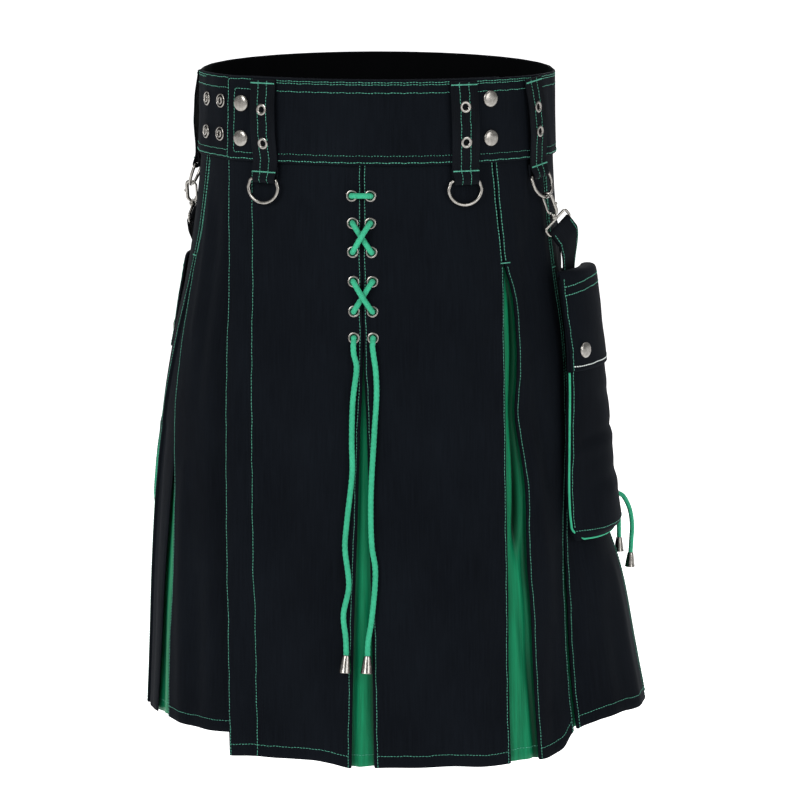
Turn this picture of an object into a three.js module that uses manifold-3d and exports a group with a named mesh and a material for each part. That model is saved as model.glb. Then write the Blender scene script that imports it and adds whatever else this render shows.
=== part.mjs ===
// Hybrid kilt: a black wrap-over apron kilt with a snap waistband, laced centre
// pleat, green pleat inserts, belt loops with D-rings and two hip pouches.
// Millimetres, +Z up. Origin: centre of the waist opening at the middle of the
// waistband's height. +X is the wearer's left, -Y is the front.
//
// Every cloth piece is a wall whose points are given as (t, z, d): t is the angle
// round the body in degrees (0 front, 90 wearer's left, 180 back), z the height and
// d the distance out from the form described by the table FORM.

import * as THREE from 'three';
import Module from 'manifold-3d';

const wasm = await Module();
wasm.setup();

// ---------------------------------------------------------------- sizes (mm)
const CLOTH = 1.4;          // wall of one sewn cloth layer
const LAYER = 1.4;          // air between two layers folded on each other
const RETURN_DEG = 4;       // turned-back edge of a pleat, in degrees of t
const WING_DEG = 5;         // how far a pleat insert runs behind its two edges
const INSERT_D = -6.5;      // outer face of the green inserts
const UNDER_D = -10.5;      // outer face of the under apron below the outer apron
const BAND_TOP = 36;        // waistband, top edge at the front
const BAND_BOTTOM = -38;
const BAND_BACK_RISE = 7;   // the band stands higher at the back
const BAND_WALL = 2.4;
const BAND_GAP = 1.0;       // air between the skirt's top and the band
const SKIRT_TOP = -28;      // skirt tops are tucked up behind the band
const INSERT_TOP = -44;
const CENTRE_INSERT_TOP = -206;
const TAB_END = -49;        // end of the band's tab, degrees
const UNDER_BAND_END = 48;  // the inner end of the band, degrees
const LOOP_W = 25, LOOP_WALL = 1.6;
const WIRE_R = 1.5;         // D-ring wire
const RING_HALF = 14.5, RING_DROP = 21.5;
const BAR_Z = -53.5;        // D-ring bar inside the loop's fold
const FOLD_R = 1.9;         // inner radius of that fold
const CAP_R = 7.4;          // snap cap
const CORD_R = 2.5;         // main lace
const POUCH_CORD_R = 2.2;
const STRAP_W = 24, STRAP_WALL = 1.8;
const HOOK_R = 1.3;

// half widths and half depths of the form at each height
const FORM = [
  { z: 48, left: 160.5, right: 160.5, front: 122, back: 118.5 },
  { z: -40, left: 164.2, right: 163.1, front: 123.7, back: 121.2 },
  { z: -100, left: 171, right: 167, front: 131, back: 128 },
  { z: -150, left: 179, right: 172, front: 137, back: 135 },
  { z: -210, left: 192, right: 180, front: 144, back: 144 },
  { z: -280, left: 204, right: 190, front: 151, back: 153 },
  { z: -360, left: 212, right: 207, front: 158, back: 163 },
  { z: -440, left: 217, right: 232, front: 164, back: 172 },
  { z: -510, left: 220, right: 246, front: 168.5, back: 180 },
  { z: -590, left: 224, right: 263, front: 173, back: 188 },
];
// angles of the pleat edges at each height: laced pleat 0, pleats a to e round to
// the back, pleat g at the right hip, the outer apron's free edge
const EDGES = [
  { z: -28, a0: 42.9, a1: 43.9, b0: 72.6, b1: 73.3, c0: 105, c1: 105.7, d0: 165, d1: 165.7, e0: 223, e1: 223.7, g0: -67.2, g1: -66.0, gs: -60.5, apron: -49.5, cl: -0.95, cr: -0.65 },
  { z: -60, a0: 43.0, a1: 44.0, b0: 72.7, b1: 73.4, c0: 105, c1: 105.7, d0: 165, d1: 165.7, e0: 223, e1: 223.7, g0: -68.0, g1: -66.8, gs: -61, apron: -48.6, cl: -0.95, cr: -0.65 },
  { z: -100, a0: 44.4, a1: 45.4, b0: 73.6, b1: 74.3, c0: 104.6, c1: 105.3, d0: 165, d1: 165.7, e0: 223, e1: 223.7, g0: -68.2, g1: -67.0, gs: -61, apron: -46.4, cl: -0.9, cr: -0.6 },
  { z: -150, a0: 45.2, a1: 49.6, b0: 75.1, b1: 75.8, c0: 104, c1: 105, d0: 165, d1: 166.2, e0: 222.8, e1: 223.8, g0: -71.5, g1: -69.5, gs: -62.5, apron: -43.2, cl: -0.6, cr: -0.2 },
  { z: -210, a0: 43.7, a1: 49.6, b0: 77.2, b1: 78.2, c0: 102.6, c1: 104.6, d0: 164.8, d1: 167, e0: 222.6, e1: 224.4, g0: -74, g1: -67.6, gs: -62.5, apron: -39.8, cl: -0.3, cr: 0.3 },
  { z: -280, a0: 41.7, a1: 47.6, b0: 73.8, b1: 75.2, c0: 100, c1: 102.6, d0: 164.6, d1: 167.8, e0: 222.3, e1: 225.2, g0: -77, g1: -64.6, gs: -62.8, apron: -36.8, cl: -0.9, cr: 1.3 },
  { z: -360, a0: 38.2, a1: 45.6, b0: 64.4, b1: 66, c0: 96.6, c1: 99.8, d0: 164.4, d1: 168.5, e0: 222, e1: 226, g0: -80, g1: -59.8, gs: -64.2, apron: -34.7, cl: -1.4, cr: 1.9 },
  { z: -440, a0: 33.6, a1: 41.5, b0: 55.3, b1: 56.7, c0: 93.6, c1: 97.6, d0: 164.2, d1: 169, e0: 221.8, e1: 226.7, g0: -82, g1: -58.3, gs: -65.9, apron: -33.3, cl: -2.0, cr: 2.3 },
  { z: -510, a0: 31.9, a1: 40.1, b0: 52.8, b1: 54.1, c0: 91.4, c1: 96, d0: 164, d1: 169.4, e0: 221.6, e1: 227.2, g0: -83.5, g1: -59.3, gs: -67.2, apron: -32.4, cl: -2.3, cr: 2.5 },
  { z: -590, a0: 30.5, a1: 38.9, b0: 51.0, b1: 52.4, c0: 89.6, c1: 94.8, d0: 163.8, d1: 169.8, e0: 221.4, e1: 227.6, g0: -84.5, g1: -58.4, gs: -68.8, apron: -31.2, cl: -2.5, cr: 2.7 },
];
// height of the hem round the skirt
const HEM = [
  { t: -180, z: -566 }, { t: -120, z: -567 }, { t: -84, z: -571 }, { t: -60, z: -565 },
  { t: -34, z: -578 }, { t: -12, z: -576 }, { t: 0, z: -583 }, { t: 14, z: -581 },
  { t: 30, z: -582 }, { t: 39, z: -583 }, { t: 46, z: -579 }, { t: 51, z: -567 },
  { t: 60, z: -557 }, { t: 90, z: -559 }, { t: 120, z: -562 }, { t: 180, z: -566 },
];
const UNDER_HEM = -563;
const ROWS = [-40, -100, -150, -210, -280, -360, -440, -510];

// ---------------------------------------------------------------- the form
const rad = Math.PI / 180;
function look(table, key, col, v) {
  const n = table.length;
  const up = table[n - 1][key] > table[0][key];
  for (let i = 0; i < n - 1; i++) {
    const p = table[i][key], q = table[i + 1][key];
    if (up ? v <= q : v >= q) {
      const f = THREE.MathUtils.clamp((v - p) / (q - p), 0, 1);
      return table[i][col] + f * (table[i + 1][col] - table[i][col]);
    }
  }
  return table[n - 1][col];
}
const smooth = (a, b, v) => THREE.MathUtils.smoothstep((v - a) / (b - a), 0, 1);
const wrap = (t) => ((((t + 180) % 360) + 360) % 360) - 180;
const edge = (name) => (z) => look(EDGES, 'z', name, z);
const hem = (t) => look(HEM, 't', 'z', wrap(t));

// the cloth sinks a little along pleat b towards the hem
function dent(t, z) {
  const depth = 16 * smooth(-150, -560, z);
  return -depth * Math.exp(-(((t - edge('b0')(z)) / 9) ** 2));
}
// a point of the form, moved out by d and along the body by e
function at(t, z, d = 0, e = 0) {
  const s = Math.sin(t * rad), c = Math.cos(t * rad);
  const a = look(FORM, 'z', s >= 0 ? 'right' : 'left', z);
  const b = look(FORM, 'z', c >= 0 ? 'front' : 'back', z);
  const nx = b * s, ny = -a * c, n = Math.hypot(nx, ny);
  const tx = -ny / n, ty = nx / n;
  const out = d + dent(wrap(t), z);
  return new THREE.Vector3(a * s + (out * nx) / n + e * tx, -b * c + (out * ny) / n + e * ty, z);
}
function frameAt(t) {
  const s = Math.sin(t * rad), c = Math.cos(t * rad);
  const a = look(FORM, 'z', s >= 0 ? 'right' : 'left', BAR_Z);
  const b = look(FORM, 'z', c >= 0 ? 'front' : 'back', BAR_Z);
  const n = new THREE.Vector3(b * s, -a * c, 0).normalize();
  return { n, tan: new THREE.Vector3(-n.y, n.x, 0) };
}

// ---------------------------------------------------------------- mesh helpers
function solid(points, faces) {
  const pos = new Float32Array(points.length * 3);
  points.forEach((p, i) => pos.set([p.x, p.y, p.z], i * 3));
  let vol = 0;
  for (let i = 0; i < faces.length; i += 3) {
    const [p, q, r] = [points[faces[i]], points[faces[i + 1]], points[faces[i + 2]]];
    vol += p.dot(new THREE.Vector3().crossVectors(q, r));
  }
  const idx = vol < 0 ? faces.slice().reverse() : faces;
  const g = new THREE.BufferGeometry();
  g.setAttribute('position', new THREE.BufferAttribute(pos, 3));
  g.setIndex(Array.from(idx));
  return g;
}
// faces across a ring whose first half runs along one side of a strip and whose
// second half runs back along the other
function stripCap(n) {
  const f = [], other = (i) => n - 1 - i;
  for (let i = 0; i < n / 2 - 1; i++) f.push([i, i + 1, other(i + 1)], [i, other(i + 1), other(i)]);
  return f;
}
const fanCap = (n) => Array.from({ length: n - 2 }, (_, i) => [0, i + 1, i + 2]);
// a solid through rings of points; every ring has the same number of points
function loft(rings, cap = stripCap) {
  const n = rings[0].length, faces = [];
  const points = rings.flat();
  for (let j = 0; j < rings.length - 1; j++) {
    for (let i = 0; i < n; i++) {
      const a = j * n + i, b = j * n + ((i + 1) % n);
      faces.push(a, b, b + n, a, b + n, a + n);
    }
  }
  const caps = cap(n), last = (rings.length - 1) * n;
  for (const [a, b, c] of caps) {
    faces.push(a, c, b);
    faces.push(last + a, last + b, last + c);
  }
  return solid(points, faces);
}
// a cloth wall: section(z) gives pairs of points (t, d, e) on its two faces at each
// height, and foot(t) the height of its lower edge
function wall(rows, section, foot) {
  const outline = (z) => { const s = section(z); return s.map((p) => p[0]).concat(s.map((p) => p[1]).reverse()); };
  const rings = rows.map((z) => outline(z).map(([t, d, e = 0]) => at(t, z, d, e)));
  rings.push(outline(-590).map(([t, d, e = 0]) => at(t, foot(t), d, e)));
  return loft(rings);
}
// pairs of points of one panel from t0 to t1; left and right say what its edges do:
// 'cut' plain, 'turn' folded back behind the panel, or an angle: runs on to there, one layer in
function panel(t0, t1, d, left, right, n) {
  const p = [], L = CLOTH + LAYER, B = 2 * CLOTH + LAYER;
  if (left === 'turn') {
    const tl = t0 + RETURN_DEG;
    p.push([[tl, d(tl) - B], [tl, d(tl) - L]], [[t0, d(t0) - B], [t0, d(t0) - L, CLOTH]], [[t0, d(t0)], [t0, d(t0) - CLOTH, CLOTH]]);
  } else p.push([[t0, d(t0)], [t0, d(t0) - CLOTH]]);
  for (let i = 1; i < n; i++) {
    const t = t0 + ((t1 - t0) * i) / n;
    p.push([[t, d(t)], [t, d(t) - CLOTH]]);
  }
  if (right === 'cut') p.push([[t1, d(t1)], [t1, d(t1) - CLOTH]]);
  else if (right === 'turn') {
    const tr = t1 - RETURN_DEG;
    p.push([[t1, d(t1)], [t1, d(t1) - CLOTH, -CLOTH]], [[t1, d(t1) - B], [t1, d(t1) - L, -CLOTH]], [[tr, d(tr) - B], [tr, d(tr) - L]]);
  } else {
    p.push([[t1, d(t1)], [t1, d(t1) - CLOTH, -CLOTH]], [[t1, d(t1) - L], [t1, d(t1) - B, -CLOTH]]);
    for (const f of [0.34, 0.67, 1]) { const t = t1 + (right - t1) * f; p.push([[t, d(t1) - L], [t, d(t1) - B]]); }
  }
  return p;
}

const manifold = (g) => new wasm.Manifold(new wasm.Mesh({
  numProp: 3,
  vertProperties: new Float32Array(g.attributes.position.array),
  triVerts: new Uint32Array(g.index.array),
}));
function fromManifold(m) {
  const k = m.getMesh(), g = new THREE.BufferGeometry();
  g.setAttribute('position', new THREE.BufferAttribute(new Float32Array(k.vertProperties), 3));
  g.setIndex(Array.from(k.triVerts));
  return g;
}
// a closed or open tube of n sides through points
function tube(points, r, n, closed = false, twist = 0, ref = null) {
  const k = points.length, rings = [];
  let side = null;
  for (let i = 0; i < k; i++) {
    const prev = points[closed ? (i + k - 1) % k : Math.max(0, i - 1)];
    const next = points[closed ? (i + 1) % k : Math.min(k - 1, i + 1)];
    const inn = points[i].clone().sub(prev).normalize(), out = next.clone().sub(points[i]).normalize();
    if (!closed && i === 0) inn.copy(out);
    if (!closed && i === k - 1) out.copy(inn);
    const dir = inn.clone().add(out).normalize();
    if (ref) side = ref.clone();
    else if (!side) side = Math.abs(dir.z) < 0.9 ? new THREE.Vector3(0, 0, 1) : new THREE.Vector3(1, 0, 0);
    side = side.clone().addScaledVector(dir, -side.dot(dir)).normalize();
    const other = new THREE.Vector3().crossVectors(dir, side);
    const stretch = 1 / Math.max(0.6, dir.dot(out));
    // a mitred corner widens the section in the plane of the bend
    const bend = out.clone().sub(inn);
    const bl = bend.length();
    const ring = [];
    for (let j = 0; j < n; j++) {
      const f = ((j + 0.5) / n) * 2 * Math.PI + twist;
      const v = side.clone().multiplyScalar(r * Math.cos(f)).addScaledVector(other, r * Math.sin(f));
      if (bl > 1e-4) {
        const u = bend.clone().divideScalar(bl);
        v.addScaledVector(u, v.dot(u) * (stretch - 1));
      }
      ring.push(points[i].clone().add(v));
    }
    rings.push(ring);
  }
  if (closed) {
    const faces = [];
    for (let j = 0; j < k; j++) for (let i = 0; i < n; i++) {
      const a = j * n + i, b = j * n + ((i + 1) % n), c = ((j + 1) % k) * n + ((i + 1) % n), e = ((j + 1) % k) * n + i;
      faces.push(a, b, c, a, c, e);
    }
    return solid(rings.flat(), faces);
  }
  return loft(rings, fanCap);
}
// an outline in the plane (u, v), pushed w/2 each way along the third direction
function plate(outline, O, U, V, N, w) {
  const ring = (k) => outline.map(([u, v]) => O.clone().addScaledVector(U, u).addScaledVector(V, v).addScaledVector(N, k));
  return loft([ring(-w / 2), ring(w / 2)]);
}
// a strip of even thickness along a polyline in a plane, as an outline
function strip(line, th) {
  const left = [], right = [];
  line.forEach((p, i) => {
    const a = line[Math.max(0, i - 1)], b = line[Math.min(line.length - 1, i + 1)];
    const d1 = new THREE.Vector2(p[0] - a[0], p[1] - a[1]), d2 = new THREE.Vector2(b[0] - p[0], b[1] - p[1]);
    if (i === 0) d1.copy(d2);
    if (i === line.length - 1) d2.copy(d1);
    d1.normalize(); d2.normalize();
    const m = d1.clone().add(d2).normalize(), k = th / 2 / Math.max(0.5, m.dot(d1));
    left.push([p[0] - m.y * k, p[1] + m.x * k]);
    right.push([p[0] + m.y * k, p[1] - m.x * k]);
  });
  return left.concat(right.reverse());
}

// ---------------------------------------------------------------- materials
const COLOURS = {
  black: new THREE.MeshStandardMaterial({ color: 0x15181c, roughness: 0.9, metalness: 0 }),
  green: new THREE.MeshStandardMaterial({ color: 0x12855a, roughness: 0.45, metalness: 0 }),
  cord: new THREE.MeshStandardMaterial({ color: 0x2fa37a, roughness: 0.8, metalness: 0 }),
  metal: new THREE.MeshStandardMaterial({ color: 0xc9cbcd, roughness: 0.25, metalness: 1 }),
};
const kilt = new THREE.Group();
kilt.name = 'hybrid_kilt';
function add(name, slot, geometry) {
  const m = new THREE.Mesh(geometry, COLOURS[slot]);
  m.name = name;
  kilt.add(m);
  return m;
}

// ---------------------------------------------------------------- skirt
// how far the outer apron stands off the form: lifted along its free edge
const apronD = (z) => (t) => {
  const lift = 5.0 + 8.5 * smooth(-60, -560, z);
  const from = edge('apron')(z);
  return 0.5 + lift * (1 - smooth(from, from + 15, t));
};
// the under apron dives behind the outer one
const underD = (z) => (t) => {
  const from = -52 + 10 * smooth(-38, -560, z);
  return UNDER_D * smooth(from, from + 14, t);
};
const flat0 = () => 0;
const skirtRows = [SKIRT_TOP, ...ROWS];

// lacing: two columns of eyelets beside the laced pleat
const LACE_ROWS = [
  { z: -66, left: -11.6, right: 5.0 }, { z: -90, left: -10.6, right: 5.2 }, { z: -115.5, left: -10.2, right: 6.6 },
  { z: -141.5, left: -9.4, right: 7.6 }, { z: -168, left: -8.8, right: 7.9 }, { z: -191.5, left: -8.6, right: 8.6 },
];
const EYELET_R = 5.4, EYELET_HOLE = 4.1;
const frontY = (x, z) => {
  const a = look(FORM, 'z', x >= 0 ? 'right' : 'left', z), b = look(FORM, 'z', 'front', z);
  return -b * Math.sqrt(1 - (x / a) ** 2);
};
function lathe(profile, seg, pos, axis) {
  const g = new THREE.LatheGeometry(profile.map(([x, y]) => new THREE.Vector2(x, y)), seg);
  // one point where the profile meets the axis, no doubled seam
  const P = g.attributes.position, key = new Map(), pts = [], map = [];
  for (let i = 0; i < P.count; i++) {
    const k = [P.getX(i), P.getY(i), P.getZ(i)].map((v) => Math.round(v * 1e4)).join();
    if (!key.has(k)) { key.set(k, pts.length); pts.push(new THREE.Vector3(P.getX(i), P.getY(i), P.getZ(i))); }
    map.push(key.get(k));
  }
  const faces = [], I = g.index.array;
  for (let i = 0; i < I.length; i += 3) {
    const f = [map[I[i]], map[I[i + 1]], map[I[i + 2]]];
    if (f[0] !== f[1] && f[1] !== f[2] && f[0] !== f[2]) faces.push(...f);
  }
  const q = new THREE.Quaternion().setFromUnitVectors(new THREE.Vector3(0, 1, 0), axis);
  return solid(pts.map((p) => p.applyQuaternion(q).add(pos)), faces);
}
function eyelet(x, z) {
  const p = new THREE.Vector3(x, frontY(x, z) - 0.5, z);
  const slope = (look(FORM, 'z', 'front', z - 5) - look(FORM, 'z', 'front', z + 5)) / 10;
  const axis = new THREE.Vector3(0, -1, slope).normalize();
  const ring = lathe([[EYELET_HOLE, -1.0], [EYELET_R, -1.0], [EYELET_R, 0.4], [EYELET_HOLE + 0.8, 1.0], [EYELET_HOLE, 0.5], [EYELET_HOLE, -1.0]], 9, p, axis);
  const hole = lathe([[0, -9], [EYELET_HOLE, -9], [EYELET_HOLE, 5], [0, 5]], 9, p, axis);
  return { ring: manifold(ring), hole: manifold(hole) };
}
function apronHalf(isLeft) {
  const section = (z) => (isLeft
    ? panel(edge('apron')(z), edge('cl')(z), apronD(z), 'cut', 'turn', 10)
    : panel(edge('cr')(z), edge('a0')(z), apronD(z), 'turn', 'turn', 9));
  let m = manifold(wall(skirtRows, section, hem));
  for (const row of LACE_ROWS) {
    const e = eyelet(isLeft ? row.left : row.right, row.z);
    m = m.add(e.ring).subtract(e.hole);
  }
  return fromManifold(m);
}
add('apron_left', 'black', apronHalf(true));
add('apron_right', 'black', apronHalf(false));
add('under_apron', 'black', wall(skirtRows,
  (z) => panel(edge('g1')(z), 36 - 10 * smooth(-38, -560, z), underD(z), 'cut', 'cut', 21), () => UNDER_HEM));

const PANELS = [
  { name: 'panel_hip_left_1', from: 'a1', to: 'b0', plus: 0, cols: 6 },
  { name: 'panel_hip_left_2', from: 'b1', to: 'c0', plus: 0, cols: 6 },
  { name: 'panel_back_1', from: 'c1', to: 'd0', plus: 0, cols: 12 },
  { name: 'panel_back_2', from: 'd1', to: 'e0', plus: 0, cols: 12 },
  { name: 'panel_hip_right', from: 'e1', to: 'g0', plus: 360, cols: 12 },
];
for (const p of PANELS) {
  add(p.name, 'black', wall(skirtRows, (z) => panel(edge(p.from)(z), edge(p.to)(z) + p.plus, flat0,
    'turn', p.to === 'g0' ? edge('gs')(z) + 360 : 'turn', p.cols), hem));
}
const INSERTS = [
  { name: 'insert_centre', from: 'cl', to: 'cr', plus: 0, top: CENTRE_INSERT_TOP },
  { name: 'insert_a', from: 'a0', to: 'a1', plus: 0, top: INSERT_TOP },
  { name: 'insert_b', from: 'b0', to: 'b1', plus: 0, top: INSERT_TOP },
  { name: 'insert_c', from: 'c0', to: 'c1', plus: 0, top: INSERT_TOP },
  { name: 'insert_d', from: 'd0', to: 'd1', plus: 0, top: INSERT_TOP },
  { name: 'insert_e', from: 'e0', to: 'e1', plus: 0, top: INSERT_TOP },
  { name: 'insert_g', from: 'g0', to: 'g1', plus: 0, top: INSERT_TOP },
];
for (const p of INSERTS) {
  const rows = [p.top, ...ROWS.filter((z) => z < p.top - 5)];
  add(p.name, 'green', wall(rows, (z) => panel(edge(p.from)(z) - WING_DEG, edge(p.to)(z) + WING_DEG,
    () => INSERT_D, 'cut', 'cut', 4), hem));
}

// ---------------------------------------------------------------- waistband
// one strip: from the tab's end round the back and in under the tab to its inner end
const bandOut = (phi) => {
  const t = phi > 300 ? phi - 360 : phi;
  if (phi < 300) return BAND_GAP + BAND_WALL + Math.max(apronD(-38)(t) * (1 - smooth(43, 47, t)), 0);
  const under = -8.2 * smooth(-51, -37, t);
  return BAND_GAP + BAND_WALL + under;
};
const bandTop = (phi) => BAND_TOP + BAND_BACK_RISE * Math.max(0, -Math.cos(phi * rad));
{
  const end = UNDER_BAND_END + 360, n = 92, phis = Array.from({ length: n + 1 }, (_, i) => TAB_END + ((end - TAB_END) * i) / n);
  const outline = phis.map((p) => [p, bandOut(p)]).concat(phis.slice().reverse().map((p) => [p, bandOut(p) - BAND_WALL]));
  const ring = (z) => outline.map(([p, d]) => at(p, z(p), d));
  add('waistband', 'black', loft([ring(bandTop), ring(() => BAND_BOTTOM)]));
}

// ---------------------------------------------------------------- belt loops and D-rings
const LOOPS = [
  { name: 'front_r', t: -33, turn: 0, out: 4.2, skirt: 1.8 },
  { name: 'front_l', t: 31.8, turn: 0, out: 3.0, skirt: 0.5 },
  { name: 'side_l', t: 65.6, turn: 6, out: 9.5, skirt: 0 },
  { name: 'rear_l', t: 121, turn: 0, out: 9.5, skirt: 0 },
  { name: 'side_r', t: -95, turn: 0, out: 9.5, skirt: 0 },
  { name: 'rear_r', t: -157, turn: 0, out: 9.5, skirt: 0 },
];
const rings = {};
for (const L of LOOPS) {
  const { n, tan } = frameAt(L.t);
  const base = (z, d) => at(L.t, z, d).dot(n);
  const barN = base(BAR_Z, L.skirt + 0.5 + LOOP_WALL + FOLD_R);
  const O = at(L.t, BAR_Z, 0);
  O.addScaledVector(n, barN - O.dot(n));
  const bandFace = (z) => Math.max(...[-5.4, 0, 5.4].map((k) => at(L.t + k, z, bandOut(L.t < TAB_END ? L.t + k + 360 : L.t + k)).dot(n))) - barN;
  const h = LOOP_WALL / 2, m = FOLD_R + h, Z = (z) => z - BAR_Z;
  const line = [[bandFace(33) + 0.5 + h, Z(33)], [bandFace(29) + 0.5 + h, Z(29)], [bandFace(12) + 3.2 + h, Z(12)], [bandFace(-14) + 3.6 + h, Z(-14)],
    [bandFace(-36) + 0.8 + h, Z(-36)], [Math.max(-m + LOOP_WALL + 0.4, -1.0 + h), Z(-45)]];
  for (let i = 0; i <= 8; i++) {
    const f = (20 - i * 25) * rad;
    line.push([m * Math.cos(f), m * Math.sin(f)]);
  }
  line.push([-m, Z(-42.5)]);
  const up = new THREE.Vector3(0, 0, 1);
  const q = new THREE.Quaternion().setFromAxisAngle(n, L.turn * rad);
  const V = up.clone().applyQuaternion(q), T = tan.clone().applyQuaternion(q);
  add('belt_loop_' + L.name, 'black', plate(strip(line, LOOP_WALL), O, n, V, T, LOOP_W));
  // the ring hangs from its straight bar; its lower end stands out by L.out
  const low = at(L.t, BAR_Z - RING_DROP, L.out);
  const down = V.clone().multiplyScalar(-RING_DROP).addScaledVector(n, low.dot(n) - O.dot(n)).normalize();
  const pts = [[-RING_HALF, 0], [RING_HALF, 0]];
  for (let i = 0; i <= 8; i++) {
    const f = (i / 8) * Math.PI;
    pts.push([RING_HALF * Math.cos(f), RING_DROP - RING_HALF + RING_HALF * Math.sin(f)]);
  }
  // an even number of steps puts one vertex at the lowest point, so the bottom is cut flat
  const mid = pts.length - 5;
  const flatHalf = 2.4;
  pts.splice(mid, 1, [flatHalf, RING_DROP], [-flatHalf, RING_DROP]);
  const world = pts.map(([x, y]) => O.clone().addScaledVector(T, x).addScaledVector(down, y));
  add('d_ring_' + L.name, 'metal', tube(world, WIRE_R, 8, true, 0, new THREE.Vector3().crossVectors(T, down)));
  rings[L.name] = { O, T, n, down, foot: O.clone().addScaledVector(down, RING_DROP) };
}

// ---------------------------------------------------------------- snaps
const capProfile = [[0, 0], [CAP_R, 0], [CAP_R, 0.7], [CAP_R - 0.9, 1.6], [4.2, 2.3], [0, 2.5]];
const socketProfile = [[0, 0], [5.4, 0], [5.4, 0.8], [4.4, 1.8], [3.0, 1.8], [2.4, 0.7], [0, 0.7]];
const bandAt = (t) => bandOut(t < TAB_END ? t + 360 : t);
function bandNormal(t, z) {
  const a = at(t + 1.5, z, bandAt(t + 1.5)).sub(at(t - 1.5, z, bandAt(t - 1.5)));
  const b = at(t, z + 2, 0).sub(at(t, z - 2, 0));
  return a.cross(b).normalize();
}
const SNAPS = [
  { name: 'snap_tab_top', t: -42.8, z: 13, socket: false }, { name: 'snap_tab_low', t: -42.8, z: -18.5, socket: false },
  { name: 'snap_left_top', t: 41.8, z: 18.5, socket: false }, { name: 'snap_left_low', t: 41.8, z: -16.5, socket: false },
  { name: 'socket_in_top', t: -55.3, z: 13, socket: true }, { name: 'socket_in_low', t: -55.3, z: -17, socket: true },
  { name: 'socket_out_top', t: -66.3, z: 13, socket: true }, { name: 'socket_out_low', t: -66.3, z: -17, socket: true },
];
for (const s of SNAPS) {
  const n = bandNormal(s.t, s.z);
  add(s.name, 'metal', lathe(s.socket ? socketProfile : capProfile, 12, at(s.t, s.z, bandAt(s.t)).addScaledVector(n, 0.5), n));
}

// ---------------------------------------------------------------- lace
// out of the front at an eyelet by LACE_OUT, behind the apron by LACE_IN
const LACE_OUT = 4.9, LACE_IN = -6.6;
const lp = (x, z, d) => {
  const slope = (look(FORM, 'z', 'front', z - 5) - look(FORM, 'z', 'front', z + 5)) / 10, k = Math.hypot(1, slope);
  return new THREE.Vector3(x, frontY(x, z) - d / k, z + (d * slope) / k);
};
function lacePoints() {
  const pts = [];
  const half = (sign) => {
    // from the bar at row 1 down to row 6, starting on side `sign`
    const out = [];
    const col = (i, s) => (s < 0 ? LACE_ROWS[i].left : LACE_ROWS[i].right);
    let s = sign;
    const through = (i, side, inward) => {
      const x = col(i, side), z = LACE_ROWS[i].z;
      const list = [lp(x, z, 2.4), lp(x, z, -0.9), lp(x, z, -4.2)];
      return inward ? list : list.reverse();
    };
    out.push(...through(0, s, true), lp(col(0, s), LACE_ROWS[0].z - 5, LACE_IN), lp(col(1, s), LACE_ROWS[1].z + 5, LACE_IN), ...through(1, s, false));
    for (const k of [1, 3]) {
      const x0 = col(k, s), z0 = LACE_ROWS[k].z, x1 = col(k + 1, -s), z1 = LACE_ROWS[k + 1].z;
      // at the crossing one strand rides over the other
      const over = (k === 1 ? s > 0 : s < 0) ? 5.6 : 0;
      out.push(lp(x0 * 0.78 + x1 * 0.22, z0 * 0.78 + z1 * 0.22, 4.7 + over * 0.35), lp((x0 + x1) / 2, (z0 + z1) / 2, 3.4 + over), lp(x0 * 0.22 + x1 * 0.78, z0 * 0.22 + z1 * 0.78, 4.7 + over * 0.35));
      s = -s;
      out.push(...through(k + 1, s, true), lp(col(k + 1, s), z1 - 5, LACE_IN), lp(col(k + 2, s), LACE_ROWS[k + 2].z + 5, LACE_IN), ...through(k + 2, s, false));
    }
    out.push(lp(col(5, s), LACE_ROWS[5].z - 2.4, 4.6), lp(col(5, s), LACE_ROWS[5].z - 6.5, 5.0));
    return { out, side: s };
  };
  const L = half(-1), R = half(1);
  pts.push(...L.out.slice().reverse());
  pts.push(lp(LACE_ROWS[0].left + 4.2, LACE_ROWS[0].z, LACE_OUT - 0.2), lp(LACE_ROWS[0].right - 4.2, LACE_ROWS[0].z, LACE_OUT - 0.2));
  pts.push(...R.out);
  return pts;
}
class Poly extends THREE.Curve {
  constructor(points) { super(); this.curve = new THREE.CatmullRomCurve3(points, false, 'centripetal'); this.curve.arcLengthDivisions = 2000; }
  getPoint(u, target = new THREE.Vector3()) { return target.copy(this.curve.getPointAt(THREE.MathUtils.clamp(u, 0, 1))); }
}
function cord(points, r, steps, sides = 8) {
  const curve = new Poly(points), list = [];
  for (let i = 0; i <= steps; i++) list.push(curve.getPoint(i / steps));
  return tube(list, r, sides);
}
add('lace_cross', 'cord', cord(lacePoints(), CORD_R - 0.15, 96));

// the two free tails, from the last eyelets to their metal ends (x, z, distance out)
const TAIL_OUT = 3.6;
const TAILS = [
  { name: 'l', route: [[-8.6, -199.2, 5.0], [-8.1, -206, 4.5], [-5.8, -216, TAIL_OUT], [-8.8, -247, TAIL_OUT], [-9.6, -283, TAIL_OUT], [-9.0, -311, TAIL_OUT], [-13.4, -354, TAIL_OUT], [-15.2, -379, TAIL_OUT], [-11.6, -414, TAIL_OUT], [-16.4, -441, TAIL_OUT], [-14.2, -462, TAIL_OUT], [-13.6, -476.5, 4.4]], tip: [-14.2, -478, -15.4, -494] },
  { name: 'r', route: [[8.6, -199.2, 5.0], [9.4, -206, 4.5], [11.4, -220, TAIL_OUT], [12.4, -240, TAIL_OUT], [10.6, -276, TAIL_OUT], [7.9, -336, TAIL_OUT], [9.0, -377, TAIL_OUT], [12.3, -400, TAIL_OUT], [9.2, -444, TAIL_OUT], [6.0, -465, TAIL_OUT], [5.6, -476.5, 4.4]], tip: [5.6, -478, 5.2, -494] },
];
const tipProfile = [[0, 0], [3.4, 0], [4.4, 1.5], [6.2, 16], [0, 16]];
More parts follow.
